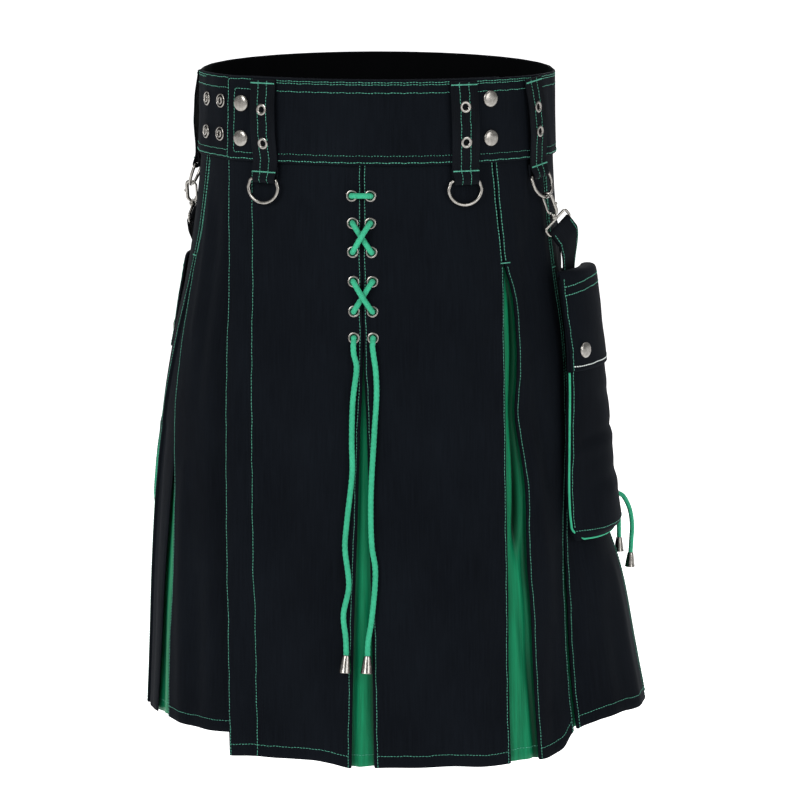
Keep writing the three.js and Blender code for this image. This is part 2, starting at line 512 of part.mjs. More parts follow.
for (const T of TAILS) {
  add('lace_tail_' + T.name, 'cord', cord(T.route.map(([x, z, d]) => lp(x, z, d)), CORD_R, 30));
  const a = lp(T.tip[0], T.tip[1] + 1.2, 6.9), b = lp(T.tip[2], T.tip[3], 6.9);
  const top = T.route[T.route.length - 1];
  const p0 = lp(top[0], top[1] - 1.0, 4.7), axis = b.clone().sub(a).normalize();
  axis.y -= 0.16; axis.normalize();
  add('lace_tip_' + T.name, 'metal', lathe([[0, 0], [3.0, 0], [3.4, 1.5], [5.6, 15.5], [0, 15.5]], 12, p0, axis));
}

// ---------------------------------------------------------------- hip pouches
// Rows of the pouch: angle of its two ends, how far out its back and front stand at
// the ends, and how far out they stand in the middle
const POUCH_ROWS = [
  { z: -150, t0: 68.6, t1: 120.0, back: 10.5, edge: 14.0, inner: 16.5, front: 30.5 },
  { z: -180, t0: 69.0, t1: 120.0, back: 10.5, edge: 14.2, inner: 16.5, front: 31.0 },
  { z: -215, t0: 69.8, t1: 120.5, back: 9.0, edge: 14.0, inner: 13.5, front: 30.8 },
  { z: -250, t0: 68.8, t1: 120.5, back: 7.0, edge: 13.2, inner: 9.5, front: 29.5 },
  { z: -300, t0: 65.8, t1: 118.5, back: 4.6, edge: 11.5, inner: 5.5, front: 26.5 },
  { z: -345, t0: 62.9, t1: 115.5, back: 4.0, edge: 10.5, inner: 4.0, front: 22.5 },
  { z: -380, t0: 61.8, t1: 113.5, back: 3.6, edge: 9.5, inner: 3.6, front: 18.5 },
  { z: -390, t0: 61.9, t1: 113.0, back: 4.6, edge: 8.6, inner: 4.6, front: 13.5 },
];
const POUCH_WALL = 1.6, POUCH_COLS = 8;
const FLAP_LOW = -236;
// Straps: the D-ring it hangs from, the point its hook's loop hangs towards, angle and
// distance out of its foot, and how far its loop and its foot are turned and tilted
const POUCHES = [
  { name: 'l', shift: 0, sign: 1, lace: true, straps: [
    { which: 'f', ring: 'side_l', aimT: 72, aimZ: -107.5, aimD: 12.6, footT: 79.2, footD: 7.9, turn: 32, tilt: 18, footTurn: 8 },
    { which: 'r', ring: 'rear_l', aimT: 118.5, aimZ: -108, aimD: 11, footT: 114, footD: 5.2, turn: 10, tilt: -6, footTurn: 0 },
  ] },
  { name: 'r', shift: -38, sign: -1, lace: false, straps: [
    { which: 'f', ring: 'side_r', aimT: 63.5, aimZ: -108, aimD: 9, footT: 78, footD: 5.0, turn: 5, tilt: 10, footTurn: 0 },
    { which: 'r', ring: 'rear_r', aimT: 118.2, aimZ: -108, aimD: 11, footT: 114.5, footD: 5.2, turn: 6, tilt: -5, footTurn: 0 },
  ] },
];
const FOOT_Z = -172;
for (const P of POUCHES) {
  const T = (t) => P.sign * t + (P.sign < 0 ? P.shift : 0);
  const row = (z, col) => look(POUCH_ROWS, 'z', col, z);
  const bow = (f) => Math.sin(THREE.MathUtils.clamp(f, 0, 1) * Math.PI) ** 0.6;
  const backD = (f, z) => row(z, 'back') + (row(z, 'inner') - row(z, 'back')) * bow(f);
  const frontD = (f, z) => row(z, 'edge') + (row(z, 'front') - row(z, 'edge')) * bow(f);
  // outline of the pouch at a height, shrunk by `inn`
  const outline = (z, inn) => {
    const t0 = row(z, 't0'), t1 = row(z, 't1'), pts = [], k = inn / 2.75;
    for (let i = 0; i <= POUCH_COLS; i++) pts.push([t0 + k + ((t1 - t0 - 2 * k) * i) / POUCH_COLS, backD(i / POUCH_COLS, z) + inn]);
    for (let i = POUCH_COLS; i >= 0; i--) pts.push([t0 + k + ((t1 - t0 - 2 * k) * i) / POUCH_COLS, frontD(i / POUCH_COLS, z) - inn]);
    return pts.map(([t, d]) => at(T(t), z, d));
  };
  const zs = POUCH_ROWS.map((r) => r.z), inner = zs.filter((z) => z > -384);
  const rings2 = [...zs.slice().reverse().map((z) => outline(z, 0)), ...inner.map((z) => outline(z, POUCH_WALL))];
  add('pouch_bag_' + P.name, 'black', loft(rings2));

  // flap: from behind the bag's back edge, over the top, down the front
  const flapT = Array.from({ length: POUCH_COLS + 1 }, (_, i) => i / POUCH_COLS);
  const flapAngle = (f, z) => {
    const low = Math.min(z, -150);
    return row(low, 't0') + (row(low, 't1') - row(low, 't0')) * f + (f < 0.5 ? -0.8 : 0.8) * (1 - Math.sin(f * Math.PI));
  };
  const section = (f) => {
    const B = backD(f, -150), F = (z) => frontD(f, z);
    const line = [[-147, B + 2.0], [-143.5, B + 2.3], [-142, (B + F(-150)) / 2 + 0.6], [-143.5, F(-150) + 0.8], [-150, F(-150) + 2.0], [-180, F(-180) + 1.8], [-215, F(-215) + 1.7], [FLAP_LOW, F(FLAP_LOW) + 1.7]];
    return strip(line, 1.6);
  };
  add('pouch_flap_' + P.name, 'black', loft(flapT.map((f) => section(f).map(([z, d]) => at(T(flapAngle(f, z)), z, d)))));

  for (const [which, f] of [['f', 0.1], ['r', 0.9]]) {
    const z = -214.5, g = (k) => T(flapAngle(f, z) + k), e = 1.5;
    const across = at(g(e), z, frontD(f + e / 50, z)).sub(at(g(-e), z, frontD(f - e / 50, z)));
    const nn = across.cross(new THREE.Vector3(0, 0, 1)).multiplyScalar(P.sign).normalize();
    add('pouch_snap_' + which + '_' + P.name, 'metal', lathe(capProfile, 12, at(g(0), z, frontD(f, z) + 3.9), nn));
  }

  for (const S of P.straps) {
    const p0 = rings[S.ring].foot.clone();
    const hookDir = at(T(S.aimT), S.aimZ, S.aimD).sub(p0).normalize();
    const nrm = at(T(S.aimT), S.aimZ, 20).sub(at(T(S.aimT), S.aimZ, 0)).normalize();
    const W = new THREE.Vector3().crossVectors(hookDir, nrm).normalize();
    const N1 = new THREE.Vector3().crossVectors(W, hookDir).normalize();
    // closed hook: a long eye round the D-ring's wire
    const eye = [], half = 4.7, len = 11;
    const top = WIRE_R + 0.8 + HOOK_R;
    for (let i = 0; i < 10; i++) {
      const g = (i / 10) * 2 * Math.PI, yy = len - top - Math.cos(g) * half + (Math.cos(g) > 0 ? -(len - half) : len - half);
      eye.push(p0.clone().addScaledVector(N1, half * Math.sin(g)).addScaledVector(hookDir, yy));
    }
    let hook = manifold(tube(eye, HOOK_R, 6, true, 0, W));
    const yBottom = 2 * len - top;
    const barrel = lathe([[0, 0], [2.6, 0], [3.2, 1.5], [3.2, 4.5], [2.2, 6.5], [0, 6.5]], 10, p0.clone().addScaledVector(hookDir, yBottom - 1.2), hookDir);
    hook = hook.add(manifold(barrel));
    // the swivelling loop, turned round the hook's axis and tilted in its own plane
    const hw = STRAP_W / 2 + 0.6 + HOOK_R, loopDrop = 9;
    const top0 = p0.clone().addScaledVector(hookDir, yBottom + 5.2);
    const side0 = W.clone().multiplyScalar(-P.sign * Math.cos(S.turn * rad)).addScaledVector(N1, Math.sin(S.turn * rad)).normalize();
    const wide = side0.clone().multiplyScalar(Math.cos(S.tilt * rad)).addScaledVector(hookDir, -Math.sin(S.tilt * rad));
    const drop = hookDir.clone().multiplyScalar(Math.cos(S.tilt * rad)).addScaledVector(side0, Math.sin(S.tilt * rad));
    const face = new THREE.Vector3().crossVectors(wide, drop).normalize();
    if (face.dot(nrm) < 0) face.negate();
    const rect = [[-hw, 0], [0, 0], [hw, 0], [hw, loopDrop], [-hw, loopDrop]].map(([x, y]) => top0.clone().addScaledVector(wide, x).addScaledVector(drop, y));
    hook = hook.add(manifold(tube(rect, HOOK_R, 6, true, 0, face)));
    add('pouch_hook_' + S.which + '_' + P.name, 'metal', fromManifold(hook));
    // webbing folded over the loop's lower bar, then down behind the pouch, twisting
    const bar = top0.clone().addScaledVector(drop, loopDrop);
    const foot = at(T(S.footT), FOOT_Z, S.footD);
    const along = at(T(S.footT + 1), FOOT_Z, S.footD).sub(at(T(S.footT - 1), FOOT_Z, S.footD)).normalize();
    const out = at(T(S.footT), FOOT_Z, S.footD + 10).sub(foot).normalize();
    const footWide = along.multiplyScalar(Math.cos(S.footTurn * rad)).addScaledVector(out, Math.sin(S.footTurn * rad));
    const m = HOOK_R + 0.4 + STRAP_WALL / 2, line = [];
    const put = (x, y) => line.push({ c: bar.clone().addScaledVector(face, x).addScaledVector(drop, y), w: wide });
    put(-m + 0.3, 15);
    put(-m, 4);
    for (let i = 7; i >= 0; i--) { const g = (-i / 7) * Math.PI; put(m * Math.cos(g), m * Math.sin(g)); }
    put(m, 5);
    const s0 = bar.clone().addScaledVector(face, m).addScaledVector(drop, 10), reach = s0.distanceTo(foot) * 0.2;
    const path = new THREE.CubicBezierCurve3(s0, s0.clone().addScaledVector(drop, reach), foot.clone().add(new THREE.Vector3(0, 0, 2.7 * reach)), foot);
    for (let i = 0; i <= 7; i++) line.push({ c: path.getPoint(i / 7), w: wide.clone().lerp(footWide, smooth(0, 0.7, i / 7)) });
    const webbing = line.map(({ c, w }, i) => {
      const t = line[Math.min(i + 1, line.length - 1)].c.clone().sub(line[Math.max(i - 1, 0)].c).normalize();
      const u = w.clone().addScaledVector(t, -w.dot(t)).normalize(), v = new THREE.Vector3().crossVectors(u, t);
      return [[1, 1], [-1, 1], [-1, -1], [1, -1]].map(([x, y]) => c.clone().addScaledVector(u, (x * STRAP_W) / 2).addScaledVector(v, (y * STRAP_WALL) / 2));
    });
    add('pouch_strap_' + S.which + '_' + P.name, 'black', loft(webbing));
  }
  if (P.lace) {
    // a short lace through the pouch's side, with both ends hanging free
    const q = (t, z, d) => at(T(t), z, d);
    const route = [q(97, -423.8, 14.6), q(97, -412.2, 18.9), q(97, -397.6, 24.4), q(97, -383, 27.2), q(97, -373, 26.2), q(97.4, -367.3, 23.4), q(99.5, -364.2, 23.0), q(101.8, -367.4, 22.0), q(103.4, -374, 21.2), q(105, -386, 21.4), q(106, -400, 18.6), q(106, -416, 13.4)];
    add('pouch_lace_l', 'cord', cord(route, POUCH_CORD_R, 30));
    const ends = [[route[0], route[1]], [route[route.length - 1], route[route.length - 2]]];
    ends.forEach(([p, before], i) => {
      const axis = p.clone().sub(before).normalize(); axis.z -= 0.5; axis.normalize();
      add('pouch_tip_' + 'ab'[i], 'metal', lathe([[0, 0], [2.8, 0], [3.2, 1.2], [4.6, 13.5], [0, 13.5]], 12, p.clone().addScaledVector(axis, 0.9), axis));
    });
  }
}

export default kilt;
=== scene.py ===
import bpy
import math
import numpy as np
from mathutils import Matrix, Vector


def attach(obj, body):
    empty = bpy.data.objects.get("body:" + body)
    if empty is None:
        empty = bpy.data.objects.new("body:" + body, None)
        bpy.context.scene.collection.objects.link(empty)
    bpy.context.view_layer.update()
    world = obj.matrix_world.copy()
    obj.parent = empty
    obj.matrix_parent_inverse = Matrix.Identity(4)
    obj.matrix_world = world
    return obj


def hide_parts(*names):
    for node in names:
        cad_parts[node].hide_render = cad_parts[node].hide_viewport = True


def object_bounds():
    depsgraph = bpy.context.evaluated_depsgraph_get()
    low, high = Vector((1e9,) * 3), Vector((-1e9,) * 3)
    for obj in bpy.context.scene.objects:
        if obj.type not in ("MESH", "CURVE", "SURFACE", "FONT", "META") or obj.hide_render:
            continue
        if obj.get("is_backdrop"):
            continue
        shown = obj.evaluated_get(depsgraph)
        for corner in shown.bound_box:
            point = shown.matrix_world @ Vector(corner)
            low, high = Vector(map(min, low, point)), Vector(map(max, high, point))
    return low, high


# Hybrid kilt, in the CAD's frame: +Z up, -Y the front, +X the wearer's left, origin in the
# middle of the waist. Shapes are worked out in millimetres and written in metres.

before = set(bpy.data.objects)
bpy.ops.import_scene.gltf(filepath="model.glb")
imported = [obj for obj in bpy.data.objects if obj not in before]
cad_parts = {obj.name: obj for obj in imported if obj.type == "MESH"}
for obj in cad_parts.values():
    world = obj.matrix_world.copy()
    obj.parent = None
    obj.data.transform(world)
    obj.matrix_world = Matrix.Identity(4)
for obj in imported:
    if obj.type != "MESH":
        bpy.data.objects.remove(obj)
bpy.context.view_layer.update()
scene = bpy.context.scene
rng = np.random.default_rng(24)

# ---------------------------------------------------------------- camera
cam_data = bpy.data.cameras.new("camera")
cam_data.lens, cam_data.sensor_width = 133.44, 36.0
cam_data.clip_start, cam_data.clip_end = 0.05, 2000
cam = bpy.data.objects.new("camera", cam_data)
cam.location = (0.24393, -2.73924, 0.25834)
cam.rotation_euler = (math.radians(79.02), 0, math.radians(4.65))
scene.collection.objects.link(cam)
scene.camera = cam

# ---------------------------------------------------------------- sizes (mm), as in the CAD
CLOTH, LAYER = 1.4, 1.4
SHELL = 1.2                  # wall of the visible cloth
RETURN_DEG, WING_DEG = 4, 5
INSERT_D, UNDER_D = -6.5, -10.5
BAND_TOP, BAND_BOTTOM, BAND_BACK_RISE, BAND_WALL, BAND_GAP = 36, -38, 7, 2.4, 1.0
SKIRT_TOP, INSERT_TOP, SIDE_INSERT_TOP, CENTRE_INSERT_TOP = -28, -44, -35, -206
TAB_END, UNDER_BAND_END = -49, 48
LOOP_W, LOOP_WALL = 25, 1.6
WIRE_R, RING_HALF, RING_DROP, BAR_Z, FOLD_R = 1.5, 14.5, 21.5, -53.5, 1.9
CAP_R, CORD_R, POUCH_CORD_R = 7.4, 2.5, 2.2
STRAP_W, STRAP_WALL, HOOK_R = 24, 1.8, 1.3
UNDER_HEM = -563

FORM = [  # z, half width left, right, half depth front, back
    (48, 160.5, 160.5, 122, 118.5), (-40, 164.2, 163.1, 123.7, 121.2), (-100, 171, 167, 131, 128),
    (-150, 179, 172, 137, 135), (-210, 192, 180, 144, 144), (-280, 204, 190, 151, 153),
    (-360, 212, 207, 158, 163), (-440, 217, 232, 164, 172), (-510, 220, 246, 168.5, 180),
    (-590, 224, 263, 173, 188)]
EDGE_NAMES = ("a0", "a1", "b0", "b1", "c0", "c1", "d0", "d1", "e0", "e1", "g0", "g1", "gs", "apron", "cl", "cr")
EDGES = [
    (-28, 42.9, 43.9, 72.6, 73.3, 105, 105.7, 165, 165.7, 223, 223.7, -67.2, -66.0, -60.5, -49.5, -0.95, -0.65),
    (-60, 43.0, 44.0, 72.7, 73.4, 105, 105.7, 165, 165.7, 223, 223.7, -68.0, -66.8, -61, -48.6, -0.95, -0.65),
    (-100, 44.4, 45.4, 73.6, 74.3, 104.6, 105.3, 165, 165.7, 223, 223.7, -68.2, -67.0, -61, -46.4, -0.9, -0.6),
    (-150, 45.2, 49.6, 75.1, 75.8, 104, 105, 165, 166.2, 222.8, 223.8, -71.5, -69.5, -62.5, -43.2, -0.6, -0.2),
    (-210, 43.7, 49.6, 77.2, 78.2, 102.6, 104.6, 164.8, 167, 222.6, 224.4, -74, -67.6, -62.5, -39.8, -0.3, 0.3),
    (-280, 41.7, 47.6, 73.8, 75.2, 100, 102.6, 164.6, 167.8, 222.3, 225.2, -77, -64.6, -62.8, -36.8, -0.9, 1.3),
    (-360, 38.2, 45.6, 64.4, 66, 96.6, 99.8, 164.4, 168.5, 222, 226, -80, -59.8, -64.2, -34.7, -1.4, 1.9),
    (-440, 33.6, 41.5, 55.3, 56.7, 93.6, 97.6, 164.2, 169, 221.8, 226.7, -82, -58.3, -65.9, -33.3, -2.0, 2.3),
    (-510, 31.9, 40.1, 52.8, 54.1, 91.4, 96, 164, 169.4, 221.6, 227.2, -83.5, -59.3, -67.2, -32.4, -2.3, 2.5),
    (-590, 30.5, 38.9, 51.0, 52.4, 89.6, 94.8, 163.8, 169.8, 221.4, 227.6, -84.5, -58.4, -68.8, -31.2, -2.5, 2.7)]
HEM = [(-180, -566), (-120, -567), (-84, -571), (-60, -565), (-34, -578), (-12, -576), (0, -583), (14, -581),
       (30, -582), (39, -583), (46, -579), (51, -567), (60, -557), (90, -559), (120, -562), (180, -566)]

# Creases of the skirt: from (t, z) to (t, z) in degrees and mm, then half
# width and height in mm. A trough has a negative height.
CREASES = [
    (-41, -60, -37, -150, 7, -0.8), (-38, -120, -30, -420, 13, 1.0), (-25, -58, -14, -84, 5, -0.9),
    (-24, -66, -17, -110, 8, 0.7), (-22, -180, -21, -420, 12, -1.0), (-14, -260, -12, -575, 14, 1.1),
    (-27, -430, -26, -580, 11, -1.5), (-7, -400, -6, -580, 7, -1.0), (6, -60, 8, -170, 9, -0.7),
    (13, -110, 11, -430, 13, 1.1), (21, -56, 18, -120, 6, -0.8), (20, -240, 17, -575, 12, -1.3),
    (27, -330, 24, -580, 10, 1.4), (36, -60, 36, -160, 8, 0.8), (31, -250, 28, -350, 8, -0.8),
    (49, -60, 55, -140, 7, 1.1), (56, -120, 56, -330, 10, -1.6), (62, -60, 60, -150, 7, -1.0),
    (52, -300, 45, -520, 9, 1.3), (47, -460, 43, -580, 7, -1.4), (68, -70, 69, -130, 6, 1.0),
    (60, -420, 57, -570, 9, 1.6), (70, -460, 69, -575, 12, -1.8), (79, -430, 78, -570, 11, 1.7),
    (88, -70, 86, -140, 8, -1.0), (98, -400, 99, -565, 13, 1.9), (112, -70, 114, -200, 9, -1.3),
    (110, -300, 109, -565, 13, -2.2), (121, -200, 123, -565, 15, 2.4), (135, -60, 137, -300, 12, -1.9),
    (136, -280, 133, -565, 15, -2.6), (146, -180, 148, -565, 14, 2.2), (156, -62, 155, -260, 10, 1.6),
    (157, -300, 158, -565, 12, -2.0), (176, -70, 178, -320, 12, -1.9), (183, -240, 181, -565, 15, 2.6),
    (196, -80, 197, -300, 11, 1.7), (195, -330, 194, -565, 13, -2.4), (208, -120, 211, -565, 14, 2.0),
    (217, -260, 216, -565, 9, -1.7), (234, -70, 236, -260, 11, -1.6), (239, -220, 238, -565, 14, 2.3),
    (250, -140, 252, -565, 12, -2.1), (264, -80, 263, -330, 10, 1.5), (266, -330, 267, -565, 12, 2.0),
    (278, -90, 276, -340, 8, -1.4), (284, -300, 283, -565, 8, -1.5), (-63, -70, -60, -200, 6, 0.8),
    (-56, -90, -52, -260, 8, -1.0), (-55, -330, -52, -560, 9, 1.3), (-47, -420, -46, -560, 8, -1.4)]

def curve_of(xs, ys):
    """A monotone cubic through a table's column."""
    x, y = np.asarray(xs, float), np.asarray(ys, float)
    if x[0] > x[-1]:
        x, y = x[::-1], y[::-1]
    h = np.diff(x)
    s = np.diff(y) / h
    m = np.concatenate([[s[0]], np.zeros(len(x) - 2), [s[-1]]])
    same = s[:-1] * s[1:] > 0
    total = np.where(same, s[:-1] + s[1:], 1.0)
    m[1:-1] = np.where(same, 2 * s[:-1] * s[1:] / total, 0.0)

    def f(v):
        v = np.clip(np.asarray(v, float), x[0], x[-1])
        i = np.clip(np.searchsorted(x, v) - 1, 0, len(x) - 2)
        t = (v - x[i]) / h[i]
        return ((1 + 2 * t) * (1 - t) ** 2 * y[i] + t * (1 - t) ** 2 * h[i] * m[i]
                + t * t * (3 - 2 * t) * y[i + 1] + t * t * (t - 1) * h[i] * m[i + 1])
    return f

_f = np.array(FORM, float)
LEFT, RIGHT, FRONT, BACK = (curve_of(_f[:, 0], _f[:, k]) for k in (1, 2, 3, 4))
_e = np.array(EDGES, float)
EDGE = {n: curve_of(_e[:, 0], _e[:, k + 1]) for k, n in enumerate(EDGE_NAMES)}
# the widest pleat's two edges, at more heights
EDGE["a0"] = curve_of([-28, -60, -100, -125, -134, -189, -270, -351, -441, -536, -590], [42.8, 44.0, 45.1, 45.8, 45.9, 44.3, 41.9, 38.6, 34.15, 31.85, 30.8])
EDGE["a1"] = curve_of([-28, -60, -100, -125, -134, -150, -169, -205, -227, -269, -315, -417, -553, -590], [43.8, 44.9, 46.0, 46.6, 47.4, 49.2, 50.2, 49.7, 48.7, 46.2, 46.8, 41.6, 38.6, 38.05])
_h = np.array(HEM, float)
HEM_Z = curve_of(_h[:, 0], _h[:, 1])

def smooth(a, b, v):
    x = np.clip((np.asarray(v, float) - a) / (b - a), 0, 1)
    return x * x * (3 - 2 * x)

def wrap(t):
    return (np.asarray(t, float) + 180) % 360 - 180

def hem(t):
    t = wrap(t)
    return HEM_Z(t) + 0.7 * np.sin(np.radians(t) * 11 + 0.7) + 0.5 * np.sin(np.radians(t) * 23)

def crease(t, z):
    """How far the creases move the cloth out, in mm."""
    t, z = np.broadcast_arrays(np.asarray(t, float), np.asarray(z, float))
    out = np.zeros(t.shape)
    for ta, za, tb, zb, w, h in CREASES:
        k = 3.0
        ax, bx = ta * k, tb * k
        tt = ta + (t - ta + 180) % 360 - 180          # the turn nearest to this crease
        px, pz = tt * k - ax, z - za
        dx, dz = bx - ax, zb - za
        n = dx * dx + dz * dz
        u = np.clip((px * dx + pz * dz) / n, 0, 1)
        dist = np.hypot(px - u * dx, pz - u * dz)
        grow = 0.55 + 0.45 * np.sin(np.pi * np.clip(u * 0.8 + 0.1, 0, 1))
        out += h * grow * np.exp(-(dist / w) ** 2)
    fade = smooth(-44, -75, z)
    front_share = smooth(66, 56, np.abs((t + 180) % 360 - 180))      # the pouches lie on the rest
    return out * fade * (1.35 + 0.75 * front_share)

def dent(t, z):
    depth = 16 * smooth(-150, -560, z)
    return -depth * np.exp(-(((t - EDGE["b0"](z)) / 9) ** 2))

def at(t, z, d=0.0, e=0.0, folds=False):
    """A point of the form at angle t and height z, moved out by d and along by e."""
    t, z, d, e = np.broadcast_arrays(*[np.asarray(v, float) for v in (t, z, d, e)])
    s, c = np.sin(np.radians(t)), np.cos(np.radians(t))
    a = np.where(s >= 0, RIGHT(z), LEFT(z))
    b = np.where(c >= 0, FRONT(z), BACK(z))
    nx, ny = b * s, -a * c
    n = np.hypot(nx, ny)
    out = d + dent(wrap(t), z) + (crease(t, z) if folds else 0)
    return np.stack([a * s + out * nx / n - e * ny / n, -b * c + out * ny / n + e * nx / n, z], -1)

def unit(v):
    v = np.asarray(v, float)
    return v / np.maximum(np.linalg.norm(v, axis=-1, keepdims=True), 1e-12)

def curve_through(points, step, closed=False):
    """A centripetal curve through points, sampled about every step mm."""
    p = np.asarray(points, float)
    if closed:
        p = np.vstack([p[-1], p, p[0], p[1]])
    else:
        p = np.vstack([2 * p[0] - p[1], p, 2 * p[-1] - p[-2]])
    out = []
    for i in range(1, len(p) - 2):
        q = p[i - 1:i + 3]
        k = np.concatenate([[0], np.cumsum(np.maximum(np.linalg.norm(np.diff(q, axis=0), axis=1), 1e-6) ** 0.5)])
        n = max(2, int(np.ceil(np.linalg.norm(q[2] - q[1]) / step * 3)))
        for u in np.linspace(k[1], k[2], n, endpoint=False):
            a1 = (k[1] - u) / (k[1] - k[0]) * q[0] + (u - k[0]) / (k[1] - k[0]) * q[1]
            a2 = (k[2] - u) / (k[2] - k[1]) * q[1] + (u - k[1]) / (k[2] - k[1]) * q[2]
            a3 = (k[3] - u) / (k[3] - k[2]) * q[2] + (u - k[2]) / (k[3] - k[2]) * q[3]
            b1 = (k[2] - u) / (k[2] - k[0]) * a1 + (u - k[0]) / (k[2] - k[0]) * a2
            b2 = (k[3] - u) / (k[3] - k[1]) * a2 + (u - k[1]) / (k[3] - k[1]) * a3
            out.append((k[2] - u) / (k[2] - k[1]) * b1 + (u - k[1]) / (k[2] - k[1]) * b2)
    if not closed:
        out.append(p[-2])
    return resample(np.array(out), step, closed)

def resample(line, step, closed=False):
    if closed:
        line = np.vstack([line, line[:1]])
    s = np.concatenate([[0], np.cumsum(np.linalg.norm(np.diff(line, axis=0), axis=1))])
    n = max(2, int(round(s[-1] / step)) + 1)
    at_s = np.linspace(0, s[-1], n)
    got = np.stack([np.interp(at_s, s, line[:, k]) for k in range(line.shape[1])], -1)
    return got[:-1] if closed else got

# ---------------------------------------------------------------- mesh helpers
def build(name, V, faces, uv=None, mat=None, body="root", replaces=(), sharp=None):
    me = bpy.data.meshes.new(name)
    V = np.asarray(V, float) * 0.001
    lists = []
    for f in faces:
        lists += np.asarray(f, int).tolist()
    me.from_pydata(V.tolist(), [], lists)
    me.polygons.foreach_set("use_smooth", np.ones(len(me.polygons), bool))
    if uv is not None:
        layer = me.uv_layers.new(name="weave")
        idx = np.empty(len(me.loops), int)
        me.loops.foreach_get("vertex_index", idx)
        layer.data.foreach_set("uv", np.asarray(uv, float)[idx].astype(np.float32).ravel())
    if sharp:
        me.set_sharp_from_angle(angle=math.radians(sharp))
    me.update()
    o = bpy.data.objects.new(name, me)
    scene.collection.objects.link(o)
    if mat:
        me.materials.append(mat)
    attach(o, body)
    if replaces:
        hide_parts(*replaces)
    return o

def shell_data(P, th, closed=False, ref=None):
    """Both faces and the rounded rim of a cloth wall about the grid P (rows, columns)."""
    R, C = P.shape[:2]
    if closed:
        du = np.roll(P, -1, 1) - np.roll(P, 1, 1)
    else:
        du = np.gradient(P, axis=1)
    dv = np.gradient(P, axis=0)
    N = unit(np.cross(du, dv))
    c = C // 2 if ref is None else ref
    radial = P[:, c, :2]
    flip = float((N[:, c, :2] * radial).sum()) < 0
    if flip:
        N = -N
    outer, inner = P + N * th / 2, P - N * th / 2
    step = np.linalg.norm(np.diff(P, axis=1), axis=2)
    u = np.concatenate([[0], np.cumsum(np.median(step, axis=0))]) * 0.001
    uv = np.stack([np.broadcast_to(u, (R, C)), P[:, :, 2] * 0.001], -1).reshape(-1, 2)
    V = [outer.reshape(-1, 3), inner.reshape(-1, 3)]
    idx = np.arange(R * C).reshape(R, C)
    src = [idx.ravel(), idx.ravel()]
    if closed:
        idx_r = np.roll(idx, -1, 1)
        a, b, c2, d = idx[:-1], idx_r[:-1], idx_r[1:], idx[1:]
    else:
        a, b, c2, d = idx[:-1, :-1], idx[:-1, 1:], idx[1:, 1:], idx[1:, :-1]
    q = np.stack([a, b, c2, d], -1).reshape(-1, 4)
    faces = [q, (q + R * C)[:, ::-1]]
    uvs = [uv, uv]
    base = 2 * R * C
    def rim(ring, away, wraps):
        nonlocal base
        ring = np.asarray(ring)
        mid = P.reshape(-1, 3)[ring] + unit(away) * 0.42 * th
        V.append(mid)
        src.append(ring)
        uvs.append(uv[ring])
        m = np.arange(len(ring)) + base
        base += len(ring)
        if wraps:
            nxt, mn = np.roll(ring, -1), np.roll(m, -1)
            r0, r1, m0, m1 = ring, nxt, m, mn
        else:
            r0, r1, m0, m1 = ring[:-1], ring[1:], m[:-1], m[1:]
        faces.append(np.stack([r1, r0, m0, m1], -1))
        faces.append(np.stack([m1, m0, r0 + R * C, r1 + R * C], -1))
    if closed:
        rim(idx[0], P[0] - P[1], True)
        rim(idx[-1][::-1], (P[-1] - P[-2])[::-1], True)
    else:
        ring = np.concatenate([idx[0, :-1], idx[:-1, -1], idx[-1, :0:-1], idx[:0:-1, 0]])
        away = np.zeros((R, C, 3))
        away[0] += unit(P[0] - P[1])
        away[-1] += unit(P[-1] - P[-2])
        away[:, 0] += unit(P[:, 0] - P[:, 1])
        away[:, -1] += unit(P[:, -1] - P[:, -2])
        rim(ring, away.reshape(-1, 3)[ring], True)
    if flip:
        faces = [f[:, ::-1] for f in faces]
    return np.vstack(V), faces, np.vstack(uvs), outer, N, np.concatenate(src)

def cloth(name, P, th, mat, replaces, closed=False, ref=None, body="root", fold_shade=None, inside=False):
    V, faces, uv, outer, N, src = shell_data(P, th, closed, ref)
    o = build(name, V, faces, uv, mat, body, replaces)
    # the painted shade and highlight of the satin's folds is stored with the points
    if fold_shade is not None:
        o.data.attributes.new("fold_shade", "FLOAT", "POINT").data.foreach_set("value", fold_shade.reshape(-1)[src].astype(np.float32))
    # painted shade: the inside value is 1 on the inner face and 0.5 on the rim, and it darkens the cloth's colour
    # there
    if inside:
        k = np.full(len(V), 0.5, np.float32)
        k[:P.shape[0] * P.shape[1]], k[P.shape[0] * P.shape[1]:2 * P.shape[0] * P.shape[1]] = 0, 1
        o.data.attributes.new("inside", "FLOAT", "POINT").data.foreach_set("value", k)
    return {"P": P, "outer": outer, "N": N, "obj": o}

